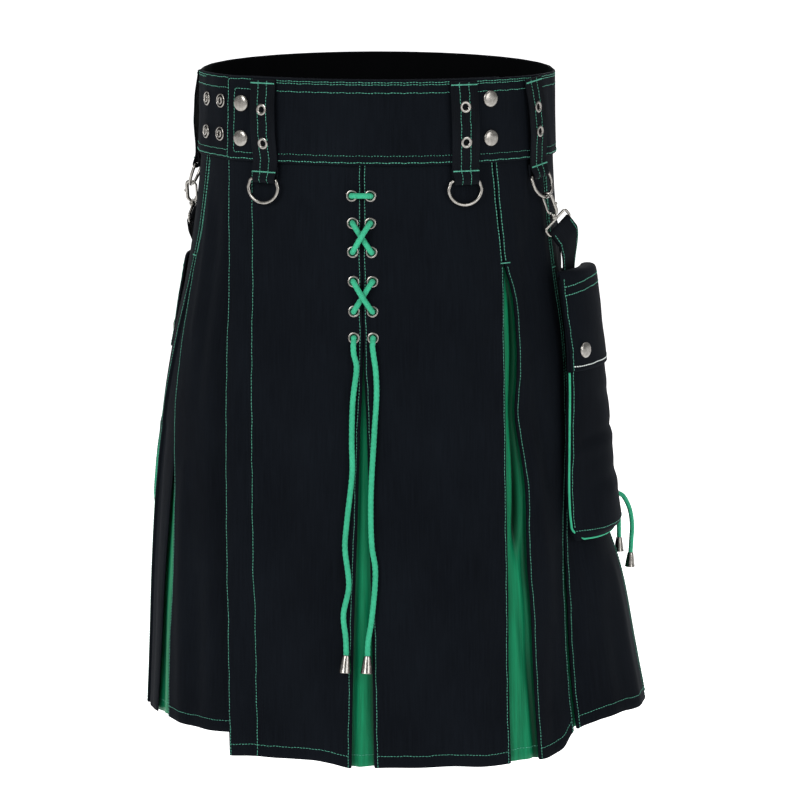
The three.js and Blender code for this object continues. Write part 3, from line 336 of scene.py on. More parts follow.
def tube_data(path, r, sides=12, closed=False, start=None, ripple=None):
    """A round tube along a path; r may vary along it."""
    p = np.asarray(path, float)
    k = len(p)
    r = np.broadcast_to(np.asarray(r, float), (k,))
    if closed:
        t = unit(np.roll(p, -1, 0) - np.roll(p, 1, 0))
    else:
        t = unit(np.gradient(p, axis=0))
    side = np.zeros((k, 3))
    s = np.array(start if start is not None else ([0, 0, 1] if abs(t[0][2]) < 0.9 else [1, 0, 0]), float)
    for i in range(k):
        s = s - t[i] * s.dot(t[i])
        s = s / np.linalg.norm(s)
        side[i] = s
    other = np.cross(t, side)
    if closed:  # spread the frame's leftover turn along the loop
        s = side[-1] - t[0] * side[-1].dot(t[0])
        s = s / np.linalg.norm(s)
        twist = math.atan2(s.dot(other[0]), s.dot(side[0]))
        w = -twist * np.arange(k) / k
        side, other = side * np.cos(w)[:, None] + other * np.sin(w)[:, None], other * np.cos(w)[:, None] - side * np.sin(w)[:, None]
    th = np.arange(sides) / sides * 2 * np.pi
    rr = r[:, None] * np.ones(sides)[None]
    if ripple is not None:
        s_len = np.concatenate([[0], np.cumsum(np.linalg.norm(np.diff(p, axis=0), axis=1))])
        rr = rr * ripple(s_len[:, None], th[None])
    V = p[:, None] + rr[..., None] * (np.cos(th)[None, :, None] * side[:, None] + np.sin(th)[None, :, None] * other[:, None])
    V = V.reshape(-1, 3)
    idx = np.arange(k * sides).reshape(k, sides)
    nxt = np.roll(idx, -1, 1)
    if closed:
        a, b, c, d = idx, nxt, np.roll(nxt, -1, 0), np.roll(idx, -1, 0)
        q = np.stack([a, b, c, d], -1).reshape(-1, 4)
        return V, [q]
    q = np.stack([idx[:-1], nxt[:-1], nxt[1:], idx[1:]], -1).reshape(-1, 4)
    V = np.vstack([V, p[0] - t[0] * r[0] * 0.25, p[-1] + t[-1] * r[-1] * 0.25])
    n = k * sides
    caps = [np.stack([nxt[0], idx[0], np.full(sides, n)], -1), np.stack([idx[-1], nxt[-1], np.full(sides, n + 1)], -1)]
    return V, [q] + caps

def lathe_data(profile, pos, axis, seg=28):
    """A turned piece: profile gives radius and height along the axis, bottom to top."""
    axis = unit(axis)
    u = unit(np.cross(axis, [0, 0, 1] if abs(axis[2]) < 0.9 else [1, 0, 0]))
    v = np.cross(axis, u)
    th = np.arange(seg) / seg * 2 * np.pi
    V, rows = [], []
    for rad, h in profile:
        if rad < 1e-6:
            rows.append([len(V)])
            V.append(np.asarray(pos) + axis * h)
        else:
            rows.append(list(range(len(V), len(V) + seg)))
            V += list(np.asarray(pos) + axis * h + rad * (np.cos(th)[:, None] * u + np.sin(th)[:, None] * v))
    quads, tris = [], []
    for a, b in zip(rows[:-1], rows[1:]):
        for i in range(seg):
            j = (i + 1) % seg
            if len(a) == 1 and len(b) > 1:
                tris.append([a[0], b[j], b[i]])
            elif len(b) == 1 and len(a) > 1:
                tris.append([a[i], a[j], b[0]])
            elif len(a) > 1:
                quads.append([a[i], a[j], b[j], b[i]])
    return np.array(V), [f for f in (quads, tris) if f]

def join(parts):
    V, faces, base = [], [], 0
    for v, fs in parts:
        V.append(v)
        faces += [np.asarray(f, int) + base for f in fs]
        base += len(v)
    return np.vstack(V), faces

# ---------------------------------------------------------------- stitches
SEWN = {}

def sew(group, line, normal, length=2.3, gap=0.55, r=0.27, lift=0.0):
    """A row of stitches along a line lying on cloth."""
    line, normal = np.asarray(line, float), np.asarray(normal, float)
    along = np.linspace(0, 1, len(line)) * len(line) * 0.11
    side = unit(np.cross(normal, np.gradient(line, axis=0)))
    line = line + side * (0.22 * np.sin(along * 5.1 + len(line)) + 0.16 * np.sin(along * 11.3 + 2.0))[:, None]
    s = np.concatenate([[0], np.cumsum(np.linalg.norm(np.diff(line, axis=0), axis=1))])
    if s[-1] < length:
        return
    n = max(1, int(s[-1] / (length + gap)))
    pitch = s[-1] / n
    s0 = np.arange(n) * pitch + gap / 2 + rng.uniform(-0.12, 0.12, n)
    s1 = s0 + (pitch - gap) + rng.uniform(-0.15, 0.1, n)
    pick = lambda a, q: np.stack([np.interp(q, s, a[:, k]) for k in range(3)], -1)
    p0, p1, nn = pick(line, s0), pick(line, s1), unit(pick(normal, (s0 + s1) / 2))
    d = p1 - p0
    b = unit(np.cross(nn, d))
    d = d + b * rng.uniform(-0.16, 0.16, n)[:, None]
    rows(group, p0, d, nn, b, r, lift)

def rows(group, p0, d, nn, b, r, lift):
    n = len(p0)
    f = np.array([0, 0.18, 0.82, 1.0])
    rr = np.array([0.4, 1, 1, 0.4]) * r
    hh = np.array([-0.45, 0.35, 0.35, -0.45]) * r + lift
    a = np.arange(5) / 5 * 2 * np.pi
    V = (p0[:, None, None] + d[:, None, None] * f[None, :, None, None]
         + nn[:, None, None] * (hh[None, :, None] + rr[None, :, None] * np.cos(a)[None, None, :])[..., None]
         + b[:, None, None] * (rr[None, :, None] * np.sin(a)[None, None, :])[..., None])
    V = V.reshape(-1, 3)
    base = np.arange(n)[:, None, None, None] * 20
    i = np.arange(4 * 5).reshape(4, 5)
    j = np.roll(i, -1, 1)
    q = np.stack([i[:-1], j[:-1], j[1:], i[1:]], -1).reshape(1, -1, 4)
    Q = (q + np.arange(n)[:, None, None] * 20).reshape(-1, 4)
    caps = np.array([[4, 3, 2, 1, 0], [15, 16, 17, 18, 19]])
    K = (caps[None] + np.arange(n)[:, None, None] * 20).reshape(-1, 5)
    SEWN.setdefault(group, []).append((V, [Q, K]))

def tack(group, p, along, across, nn, length, width=2.0, r=0.42):
    """A bar tack: close stitches side by side."""
    n = int(length / 0.62)
    k = (np.arange(n) + 0.5) / n - 0.5
    zig = np.where(np.arange(n) % 2 == 0, 0.16, -0.16)
    c = np.asarray(p) + np.asarray(along)[None] * (k * length)[:, None]
    d = unit(np.asarray(across)[None] + np.asarray(along)[None] * zig[:, None]) * width
    N = np.broadcast_to(np.asarray(nn, float), (n, 3))
    rows(group, c - d / 2, d, N, unit(np.cross(N, d)), r, 0.25)

# ---------------------------------------------------------------- materials
def node_material(name):
    m = bpy.data.materials.new(name)
    m.use_nodes = True
    nt = m.node_tree
    return m, nt, nt.nodes["Principled BSDF"]

def link(nt, a, b):
    nt.links.new(a, b)

def noise(nt, vec, scale, detail=4.0, rough=0.5):
    n = nt.nodes.new("ShaderNodeTexNoise")
    n.inputs["Scale"].default_value = scale
    n.inputs["Detail"].default_value = detail
    n.inputs["Roughness"].default_value = rough
    if vec is not None:
        link(nt, vec, n.inputs["Vector"])
    return n

def mapping(nt, vec, scale=(1, 1, 1), rot=0.0):
    m = nt.nodes.new("ShaderNodeMapping")
    m.inputs["Scale"].default_value = scale
    m.inputs["Rotation"].default_value = (0, 0, rot)
    link(nt, vec, m.inputs["Vector"])
    return m.outputs["Vector"]

def ramp(nt, fac, stops):
    r = nt.nodes.new("ShaderNodeValToRGB")
    e = r.color_ramp.elements
    e[0].position, e[0].color = stops[0][0], (*stops[0][1], 1)
    e[1].position, e[1].color = stops[-1][0], (*stops[-1][1], 1)
    for pos, col in stops[1:-1]:
        k = e.new(pos)
        k.color = (*col, 1)
    link(nt, fac, r.inputs["Fac"])
    return r.outputs["Color"]

def math_node(nt, op, a, b):
    n = nt.nodes.new("ShaderNodeMath")
    n.operation = op
    for k, v in enumerate((a, b)):
        if isinstance(v, (int, float)):
            n.inputs[k].default_value = v
        else:
            link(nt, v, n.inputs[k])
    return n.outputs[0]

def bump(nt, height, strength, distance, normal=None):
    b = nt.nodes.new("ShaderNodeBump")
    b.inputs["Strength"].default_value = strength
    b.inputs["Distance"].default_value = distance
    link(nt, height, b.inputs["Height"])
    if normal is not None:
        link(nt, normal, b.inputs["Normal"])
    return b.outputs["Normal"]

def wave(nt, vec, scale, distortion=0.0, kind="BANDS", direction="X"):
    w = nt.nodes.new("ShaderNodeTexWave")
    w.wave_type = kind
    w.bands_direction = direction
    w.inputs["Scale"].default_value = scale
    w.inputs["Distortion"].default_value = distortion
    link(nt, vec, w.inputs["Vector"])
    return w

def woven(name, dark, light, rough, sheen, sheen_tint, spec, twill=True, period=0.0011, weave_bump=0.00012):
    m, nt, b = node_material(name)
    uv = nt.nodes.new("ShaderNodeUVMap")
    uv.uv_map = "weave"
    w = wave(nt, mapping(nt, uv.outputs[0], rot=math.radians(27 if twill else 0)), 0.314 / period, 1.2)
    yarn = wave(nt, uv.outputs[0], 0.314 / (period * 0.8), 0.6, direction="Y")
    streak = noise(nt, mapping(nt, uv.outputs[0], (900, 26, 1)), 1.0, 3, 0.6)
    cloud = noise(nt, mapping(nt, uv.outputs[0], (14, 9, 1)), 1.0, 3, 0.6)
    mix = math_node(nt, "ADD", math_node(nt, "MULTIPLY", streak.outputs["Fac"], 0.55), math_node(nt, "MULTIPLY", cloud.outputs["Fac"], 0.45))
    col = ramp(nt, mix, [(0.3, dark), (0.7, light)])
    # painted shade: the inside value darkens the inner face of the cloth to about an eighth of its colour
    inner_face_shade = nt.nodes.new("ShaderNodeAttribute")
    inner_face_shade.attribute_name = "inside"
    shade = ramp(nt, inner_face_shade.outputs["Fac"], [(0.3, (1, 1, 1)), (0.9, (0.12, 0.12, 0.12))])
    mixed = nt.nodes.new("ShaderNodeMix")
    mixed.data_type, mixed.blend_type = "RGBA", "MULTIPLY"
    mixed.inputs["Factor"].default_value = 1.0
    link(nt, col, mixed.inputs["A"])
    link(nt, shade, mixed.inputs["B"])
    link(nt, mixed.outputs["Result"], b.inputs["Base Color"])
    h = math_node(nt, "ADD", math_node(nt, "MULTIPLY", w.outputs["Fac"], 0.65), math_node(nt, "MULTIPLY", yarn.outputs["Fac"], 0.35))
    n1 = bump(nt, h, 0.7, weave_bump)
    wrinkle = noise(nt, mapping(nt, uv.outputs[0], (38, 15, 1)), 1.0, 4, 0.55)
    n2 = bump(nt, wrinkle.outputs["Fac"], 0.55, 0.0016, n1)
    link(nt, n2, b.inputs["Normal"])
    b.inputs["Roughness"].default_value = rough
    b.inputs["Sheen Weight"].default_value = sheen
    b.inputs["Sheen Roughness"].default_value = 0.45
    b.inputs["Sheen Tint"].default_value = (*sheen_tint, 1)
    b.inputs["Specular IOR Level"].default_value = spec
    return m

BLACK = woven("black_twill", (0.0012, 0.0018, 0.0030), (0.0036, 0.0050, 0.0074), 0.86, 0.008, (0.45, 0.6, 0.85), 0.042)
WEB = woven("black_webbing", (0.0010, 0.0014, 0.0022), (0.0034, 0.0046, 0.0066), 0.82, 0.008, (0.5, 0.6, 0.8), 0.055, twill=False, period=0.0016, weave_bump=0.0002)

def satin():
    m, nt, b = node_material("green_satin")
    uv = nt.nodes.new("ShaderNodeUVMap")
    uv.uv_map = "weave"
    streak = noise(nt, mapping(nt, uv.outputs[0], (700, 18, 1)), 1.0, 3, 0.6)
    col = ramp(nt, streak.outputs["Fac"], [(0.3, (0.0008, 0.098, 0.040)), (0.7, (0.0020, 0.150, 0.064))])
    # painted shade and highlight: the value stored with the points darkens the satin in its troughs and by the pleat's
    # walls, and lifts it a little above its colour on the ridges
    fold_shade_attr = nt.nodes.new("ShaderNodeAttribute")
    fold_shade_attr.attribute_name = "fold_shade"
    shade = ramp(nt, fold_shade_attr.outputs["Fac"], [(0.08, (0.10, 0.12, 0.12)), (0.34, (0.34, 0.36, 0.36)), (0.56, (0.80, 0.82, 0.82)), (0.80, (1.12, 1.12, 1.12))])
    mixed = nt.nodes.new("ShaderNodeMix")
    mixed.data_type, mixed.blend_type = "RGBA", "MULTIPLY"
    mixed.inputs["Factor"].default_value = 1.0
    link(nt, col, mixed.inputs["A"])
    link(nt, shade, mixed.inputs["B"])
    link(nt, mixed.outputs["Result"], b.inputs["Base Color"])
    soft = noise(nt, mapping(nt, uv.outputs[0], (46, 11, 1)), 1.0, 3, 0.5)
    n1 = bump(nt, streak.outputs["Fac"], 0.25, 0.0001)
    link(nt, bump(nt, soft.outputs["Fac"], 0.7, 0.0016, n1), b.inputs["Normal"])
    b.inputs["Roughness"].default_value = 0.42
    b.inputs["Specular IOR Level"].default_value = 0.1
    b.inputs["Anisotropic"].default_value = 0.45
    b.inputs["Sheen Weight"].default_value = 0.02
    b.inputs["Sheen Tint"].default_value = (0.3, 0.9, 0.6, 1)
    return m

def metal():
    m, nt, b = node_material("nickel")
    co = nt.nodes.new("ShaderNodeTexCoord")
    n = noise(nt, co.outputs["Object"], 380, 4, 0.6)
    fine = noise(nt, mapping(nt, co.outputs["Object"], (900, 900, 2600)), 1.0, 2, 0.5)
    col = ramp(nt, n.outputs["Fac"], [(0.3, (0.19, 0.178, 0.162)), (0.7, (0.32, 0.308, 0.288))])
    link(nt, col, b.inputs["Base Color"])
    r = nt.nodes.new("ShaderNodeMapRange")
    r.inputs["To Min"].default_value, r.inputs["To Max"].default_value = 0.16, 0.34
    link(nt, n.outputs["Fac"], r.inputs["Value"])
    link(nt, r.outputs["Result"], b.inputs["Roughness"])
    link(nt, bump(nt, fine.outputs["Fac"], 0.12, 0.00005), b.inputs["Normal"])
    b.inputs["Metallic"].default_value = 1.0
    return m

def thread(name, dark, light):
    m, nt, b = node_material(name)
    co = nt.nodes.new("ShaderNodeTexCoord")
    n = noise(nt, co.outputs["Object"], 240, 3, 0.6)
    link(nt, ramp(nt, n.outputs["Fac"], [(0.3, dark), (0.7, light)]), b.inputs["Base Color"])
    tw = wave(nt, mapping(nt, co.outputs["Object"], (1, 1, 1.6)), 520, 0.5, direction="DIAGONAL")
    link(nt, bump(nt, tw.outputs["Fac"], 0.4, 0.00008), b.inputs["Normal"])
    b.inputs["Roughness"].default_value = 0.6
    b.inputs["Sheen Weight"].default_value = 0.06
    b.inputs["Specular IOR Level"].default_value = 0.2
    return m

def cord_material():
    m, nt, b = node_material("green_cord")
    co = nt.nodes.new("ShaderNodeTexCoord")
    n = noise(nt, co.outputs["Object"], 420, 3, 0.6)
    broad = noise(nt, co.outputs["Object"], 30, 2, 0.5)
    mix = math_node(nt, "ADD", math_node(nt, "MULTIPLY", n.outputs["Fac"], 0.6), math_node(nt, "MULTIPLY", broad.outputs["Fac"], 0.4))
    link(nt, ramp(nt, mix, [(0.32, (0.018, 0.235, 0.125)), (0.68, (0.036, 0.36, 0.20))]), b.inputs["Base Color"])
    fine = noise(nt, co.outputs["Object"], 1500, 2, 0.5)
    link(nt, bump(nt, fine.outputs["Fac"], 0.5, 0.00012), b.inputs["Normal"])
    b.inputs["Roughness"].default_value = 0.72
    b.inputs["Sheen Weight"].default_value = 0.08
    b.inputs["Sheen Tint"].default_value = (0.5, 1.0, 0.75, 1)
    b.inputs["Specular IOR Level"].default_value = 0.15
    return m

GREEN, METAL, CORD = satin(), metal(), cord_material()
THREAD = thread("green_thread", (0.036, 0.198, 0.132), (0.084, 0.335, 0.240))
WHITE_THREAD = thread("white_thread", (0.50, 0.54, 0.52), (0.74, 0.78, 0.76))

# painted shade: near-black discs set into the eyelet and socket holes stand in for the shade inside them
def hole_shade_material():
    m, nt, b = node_material("eyelet_hole_shade")
    co = nt.nodes.new("ShaderNodeTexCoord")
    n = noise(nt, co.outputs["Object"], 600, 2, 0.5)
    link(nt, ramp(nt, n.outputs["Fac"], [(0.3, (0.0015, 0.0016, 0.002)), (0.7, (0.004, 0.004, 0.005))]), b.inputs["Base Color"])
    b.inputs["Roughness"].default_value = 0.95
    b.inputs["Specular IOR Level"].default_value = 0.05
    return m
HOLE_SHADE = hole_shade_material()

# ---------------------------------------------------------------- cords first
LACE_ROWS = [(-66, -11.6, 5.0), (-90, -10.6, 5.2), (-115.5, -10.2, 6.6), (-141.5, -9.4, 7.6), (-168, -8.8, 7.9), (-191.5, -8.6, 8.6)]

def lp(x, z, d):
    """A point over the apron's front, at x and z, standing d off the form."""
    a = (RIGHT if x >= 0 else LEFT)
    y = lambda zz: -FRONT(zz) * math.sqrt(1 - (x / a(zz)) ** 2)
    slope = float(FRONT(z - 5) - FRONT(z + 5)) / 10
    k = math.hypot(1, slope)
    t = math.degrees(math.asin(x / float(a(z))))
    dd = d + float(crease(t, z)) * (1.0 if d > -3 else 0.6)
    return np.array([x, float(y(z)) - dd / k, z + dd * slope / k])

def braid(pitch, n=3, amount=0.07):
    def f(s, th):
        a, b = np.sin(n * th + 2 * np.pi * s / pitch), np.sin(n * th - 2 * np.pi * s / pitch)
        return 1 - amount * 0.6 + amount * np.maximum(a, b)
    return f

TAILS = {
    "l": ([(-8.6, -193.5, 1.5), (-8.6, -195.5, 3.8), (-8.6, -199.2, 5.0), (-8.1, -206, 4.5), (-5.8, -216, 3.6), (-8.8, -247, 3.6), (-9.6, -283, 3.6), (-9.0, -311, 3.6), (-13.4, -354, 3.6),
           (-15.2, -379, 3.6), (-11.6, -414, 3.6), (-16.4, -441, 3.6), (-14.2, -462, 3.6), (-13.6, -477.5, 4.4)], (-14.2, -478, -15.4, -494)),
    "r": ([(8.6, -193.5, 1.5), (8.6, -195.5, 3.8), (8.6, -199.2, 5.0), (9.4, -206, 4.5), (11.4, -220, 3.6), (12.4, -240, 3.6), (10.6, -276, 3.6), (7.9, -336, 3.6), (9.0, -377, 3.6),
           (12.3, -400, 3.6), (9.2, -444, 3.6), (6.0, -465, 3.6), (5.6, -477.5, 4.4)], (5.6, -478, 5.2, -494))}
TIP = [(0, 0.6), (2.7, 0.6), (2.9, 0), (3.15, 0.1), (3.5, 1.4), (4.2, 5.5), (5.0, 11.0), (5.5, 14.6), (5.75, 15.3), (5.55, 15.6), (5.2, 15.3), (4.4, 11), (0, 10.5)]

def cord_piece(name, path, r, replaces):
    V, faces = tube_data(path, r, 24, ripple=braid(4.2 * r / 2.5))
    o = build(name, V, faces, None, CORD, "root", replaces)
    return o

for side, (route, tip) in TAILS.items():
    path = curve_through([lp(*p) for p in route], 0.8)
    top = route[-1]
    p0 = lp(top[0], top[1] - 1.0 + 1.0, 4.7)
    a, b = lp(tip[0], tip[1] + 1.2, 6.9), lp(tip[2], tip[3], 6.9)
    axis = unit(b - a)
    axis[1] -= 0.16
    V, faces = lathe_data(TIP, p0, unit(axis), 32)
    cone = build("lace_end_" + side, V, faces, None, METAL, "root", ["lace_tip_" + side], sharp=40)
    cord_piece("lace_hanging_" + side, path, CORD_R, ["lace_tail_" + side])

POUCH_LACES = {
    "a": ([(97, -366.0, 16.0), (97, -366.4, 21.0), (97, -368.6, 24.4), (97, -374, 26.4), (97, -383, 27.2), (97, -397.6, 24.4), (97, -412.2, 18.9), (97, -423.8, 14.6)], "a"),
    "b": ([(101.8, -366.6, 13.5), (101.8, -367.0, 19.5), (102.2, -369.2, 22.0), (103.4, -374, 21.6), (105, -386, 21.4), (106, -400, 18.6), (106, -416, 13.4)], "b")}
for side, (route, _) in POUCH_LACES.items():
    path = curve_through([at(*p) for p in route], 0.8)
    axis = unit(path[-1] - path[-4])
    axis[2] -= 0.5
    axis = unit(axis)
    V, faces = lathe_data([(r * 0.86, h * 0.88) for r, h in TIP], path[-1] + axis * 0.2, axis, 28)
    cone = build("pouch_end_" + side, V, faces, None, METAL, "root", ["pouch_tip_" + side], sharp=40)
    cord_piece("pouch_cord_" + side, path, POUCH_CORD_R, ["pouch_lace_l"])

def lace_points():
    def half(sign):
        out, s = [], sign
        col = lambda i, q: LACE_ROWS[i][1] if q < 0 else LACE_ROWS[i][2]
        z = lambda i: LACE_ROWS[i][0]
        def through(i, q, inward):
            g = [lp(col(i, q), z(i), 2.4), lp(col(i, q), z(i), -0.9), lp(col(i, q), z(i), -4.2)]
            return g if inward else g[::-1]
        out += through(0, s, True) + [lp(col(0, s), z(0) - 5, -6.6), lp(col(1, s), z(1) + 5, -6.6)] + through(1, s, False)
        for k in (1, 3):
            x0, z0, x1, z1 = col(k, s), z(k), col(k + 1, -s), z(k + 1)
            over = 5.6 if (s > 0 if k == 1 else s < 0) else 0
            out += [lp(x0 * 0.78 + x1 * 0.22, z0 * 0.78 + z1 * 0.22, 4.7 + over * 0.35), lp((x0 + x1) / 2, (z0 + z1) / 2, 3.4 + over),
                    lp(x0 * 0.22 + x1 * 0.78, z0 * 0.22 + z1 * 0.78, 4.7 + over * 0.35)]
            s = -s
            out += through(k + 1, s, True) + [lp(col(k + 1, s), z1 - 5, -6.6), lp(col(k + 2, s), z(k + 2) + 5, -6.6)] + through(k + 2, s, False)
        out += [lp(col(5, s), z(5) - 1.2, 2.2)]
        return out
    L, R = half(-1), half(1)
    return L[::-1] + [lp(LACE_ROWS[0][1] + 4.2, -66, 4.7), lp(LACE_ROWS[0][2] - 4.2, -66, 4.7)] + R

V, faces = tube_data(curve_through(lace_points(), 0.8), CORD_R - 0.05, 24, ripple=braid(4.2))
build("lace_crossed", V, faces, None, CORD, "root", ["lace_cross"])

# ---------------------------------------------------------------- skirt panels
def apron_d(z, t):
    lift = 5.0 + 8.5 * smooth(-60, -560, z)
    a = EDGE["apron"](z)
    return 0.5 + lift * (1 - smooth(0, 15, t - a))

def under_d(z, t):
    a = -52 + 10 * smooth(-38, -560, z)
    return UNDER_D * smooth(0, 14, t - a)

def flat_d(z, t):
    return np.zeros(np.broadcast(z, t).shape)

FOLD = np.radians(np.array([-78, -40, 0, 40, 78]))

def grid(t0, t1, d, left, right, cols, top, foot, rows_n, own=None, row_top_bias=1.0):
    """The middle of a cloth piece as rows and columns of points, with its turned edges."""
    f = np.linspace(0, 1, rows_n)
    zn = top + (-577 - top) * f
    T, D, E, front = [], [], [], []
    def put(t, dd, e, is_front=False):
        T.append(t)
        D.append(dd)
        E.append(e)
        front.append(is_front)
    a, b = t0(zn), t1(zn)
    mid, back = CLOTH / 2, 1.5 * CLOTH + LAYER
    R = (back - mid) / 2
    ones = np.ones_like(zn)
    if left == "turn":
        for k in (1, 0.66, 0.33, 0.12):
            t = a + RETURN_DEG * k
            put(t, d(zn, t) - back, 0 * ones)
        for g in FOLD:
            put(a, d(zn, a) - (mid + R) + R * np.sin(g), (R - R * np.cos(g)) * ones)
        start = 1.75
    else:
        put(a, d(zn, a) - mid, 0 * ones, True)
        start = 2.0
    end = 1.75 if right == "turn" else 2.0
    reach = np.maximum((b - a) * 3.15, 8.0)
    for k in np.linspace(0, 1, cols):
        t = a + (b - a) * (start / reach + (1 - (start + end) / reach) * k)
        put(t, d(zn, t) - mid, 0 * ones, True)
    if right == "turn":
        for g in FOLD[::-1]:
            put(b, d(zn, b) - (mid + R) + R * np.sin(g), -(R - R * np.cos(g)) * ones)
        for k in (0.12, 0.33, 0.66, 1):
            t = b - RETURN_DEG * k
            put(t, d(zn, t) - back, 0 * ones)
    elif right == "cut":
        put(b, d(zn, b) - mid, 0 * ones, True)
    else:
        r = right(zn)
        for x, y in ((-0.9, 0.0), (-0.25, 0.35), (0.0, 1.4), (0.25, 2.45), (0.9, 2.8)):
            put(b, d(zn, b) - mid - y, x * ones)
        for k in np.linspace(0.12, 1, 8):
            t = b + (r - b) * k
            put(t, d(zn, b) - back, 0 * ones)
    T, D, E = (np.array(v).T for v in (T, D, E))
    Z = top + (foot(T[-1])[None] - top) * f[:, None]
    if own is not None:
        D = D + own(T, Z, a[:, None], b[:, None])
    P = at(T, Z, D, E, folds=True)
    front = np.array(front)
    cols_f = np.nonzero(front)[0]
    u = (T - a[:, None] - WING_DEG) / np.maximum((b - a)[:, None] - 2 * WING_DEG, 0.3)
    return P, cols_f[0], cols_f[-1] + 1, T, Z, u

PIECE = {}

def panel(name, t0, t1, d, left, right, cols, mat=BLACK, top=SKIRT_TOP, foot=hem, rows_n=112, own=None, node=None):
    P, c0, c1, T, Z, u = grid(t0, t1, d, left, right, cols, top, foot, rows_n, own)
    fold_shade = None
    if own is not None:
        depth = own(T, Z, T[:, :1] * 0 + t0(Z[:, :1] * 0 + np.linspace(top, -577, rows_n)[:, None]), t1(np.linspace(top, -577, rows_n)[:, None]))
        # painted shade: the satin is made darker in its troughs and near both walls of the pleat, and lighter on its
        # ridges
        wall_shade = 0.30 * np.exp(-((u - 1.0) / 0.10) ** 2) + 0.16 * np.exp(-((u - 0.0) / 0.06) ** 2)
        fold_shade = np.clip(0.62 + depth / 9.5 - wall_shade + 0.05 * np.sin(Z / 21.0 + 5 * u), 0, 1)
    g = cloth(name, P, SHELL, mat, [node or name], ref=(c0 + c1) // 2, fold_shade=fold_shade, inside=own is None)
    g.update(c0=c0, c1=c1, T=T, Z=Z)
    PIECE[name] = g
    return g

E = EDGE
panel("apron_left_cloth", E["apron"], E["cl"], apron_d, "cut", "turn", 52, node="apron_left")
panel("apron_right_cloth", E["cr"], E["a0"], apron_d, "turn", "turn", 46, node="apron_right")
panel("under_apron_cloth", E["g1"], lambda z: 36 - 10 * smooth(-38, -560, z), under_d, "cut", "cut", 96, foot=lambda t: UNDER_HEM + 0.8 * np.sin(np.radians(t) * 9), node="under_apron")
panel("hip_left_1_cloth", E["a1"], E["b0"], flat_d, "turn", "turn", 30, node="panel_hip_left_1")
panel("hip_left_2_cloth", E["b1"], E["c0"], flat_d, "turn", "turn", 40, node="panel_hip_left_2")
panel("back_1_cloth", E["c1"], E["d0"], flat_d, "turn", "turn", 66, node="panel_back_1")
panel("back_2_cloth", E["d1"], E["e0"], flat_d, "turn", "turn", 58, node="panel_back_2")
panel("hip_right_cloth", E["e1"], lambda z: E["g0"](z) + 360, flat_d, "turn", lambda z: E["gs"](z) + 360, 66, node="panel_hip_right")

# Satin folds inside each pleat: for each insert, ridges and troughs as the share of the
# pleat's width they lie at, top and bottom, with the heights they start and end at.
# the same depths also set the painted shade and highlight of the satin
SATIN = {
    "insert_a": [(0.30, 0.26, -140, -590, 0.26, 2.2), (0.84, 0.76, -150, -300, 0.13, -6.0), (0.66, 0.50, -296, -385, 0.17, -6.2), (0.82, 0.88, -395, -590, 0.09, -2.4),
                 (0.44, 0.62, -420, -500, 0.15, -2.2), (0.62, 0.40, -505, -580, 0.13, -2.0), (0.60, 0.58, -405, -590, 0.2, 1.5)],
    "insert_b": [(0.5, 0.5, -200, -590, 0.3, -3.0)],
    "insert_c": [(0.25, 0.3, -180, -590, 0.2, 1.8), (0.62, 0.6, -180, -590, 0.2, -4.5), (0.86, 0.85, -300, -590, 0.14, 1.4)],
    "insert_d": [(0.3, 0.26, -180, -590, 0.2, 1.8), (0.6, 0.64, -220, -590, 0.2, -4.5), (0.9, 0.85, -380, -590, 0.12, 1.6)],
    "insert_e": [(0.7, 0.72, -180, -590, 0.2, 1.8), (0.38, 0.34, -180, -590, 0.2, -4.5), (0.12, 0.15, -340, -590, 0.14, 1.4)],
    "insert_g": [(0.86, 0.8, -240, -590, 0.1, 1.6), (0.66, 0.64, -240, -590, 0.1, -1.6)],
    "insert_centre": [(0.45, 0.40, -230, -590, 0.25, 1.8), (0.05, 0.1, -260, -590, 0.2, -1.4), (0.85, 0.9, -420, -590, 0.15, -1.2), (0.7, 0.62, -330, -460, 0.14, 0.9)],
}

def satin_folds(name):
    rows_ = SATIN[name]
    def own(T, Z, a, b):
        a, b = a + WING_DEG, b - WING_DEG
        u = (T - a) / np.maximum(b - a, 0.2)
        inside = smooth(-0.15, 0.12, u) * smooth(1.15, 0.88, u)
        wide = np.clip((b - a) / 6.0, 0.15, 1.0)
        out = np.zeros(T.shape)
        for u0, u1, z0, z1, w, h in rows_:
            k = np.clip((Z - z0) / (z1 - z0), 0, 1)
            c = u0 + (u1 - u0) * k + 0.03 * np.sin(Z / 34.0 + 7 * u0)
            ends = smooth(z0 + 30, z0 - 30, Z) * (smooth(z1 - 25, z1 + 25, Z) if z1 > -585 else 1.0)
            out += h * (1 + 0.22 * np.sin(Z / 27.0 + 3 * u0)) * np.exp(-((u - c) / w) ** 2) * ends
        return out * inside * wide
    return own

for name, a, b, top in (("insert_centre", "cl", "cr", CENTRE_INSERT_TOP), ("insert_a", "a0", "a1", INSERT_TOP), ("insert_b", "b0", "b1", SIDE_INSERT_TOP),
                        ("insert_c", "c0", "c1", SIDE_INSERT_TOP), ("insert_d", "d0", "d1", SIDE_INSERT_TOP), ("insert_e", "e0", "e1", SIDE_INSERT_TOP), ("insert_g", "g0", "g1", SIDE_INSERT_TOP)):
    panel(name + "_cloth", (lambda q: lambda z: E[q](z) - WING_DEG)(a), (lambda q: lambda z: E[q](z) + WING_DEG)(b),
          lambda z, t: INSERT_D + np.zeros(np.broadcast(z, t).shape), "cut", "cut", 34, GREEN, top=top, rows_n=100, own=satin_folds(name), node=name)

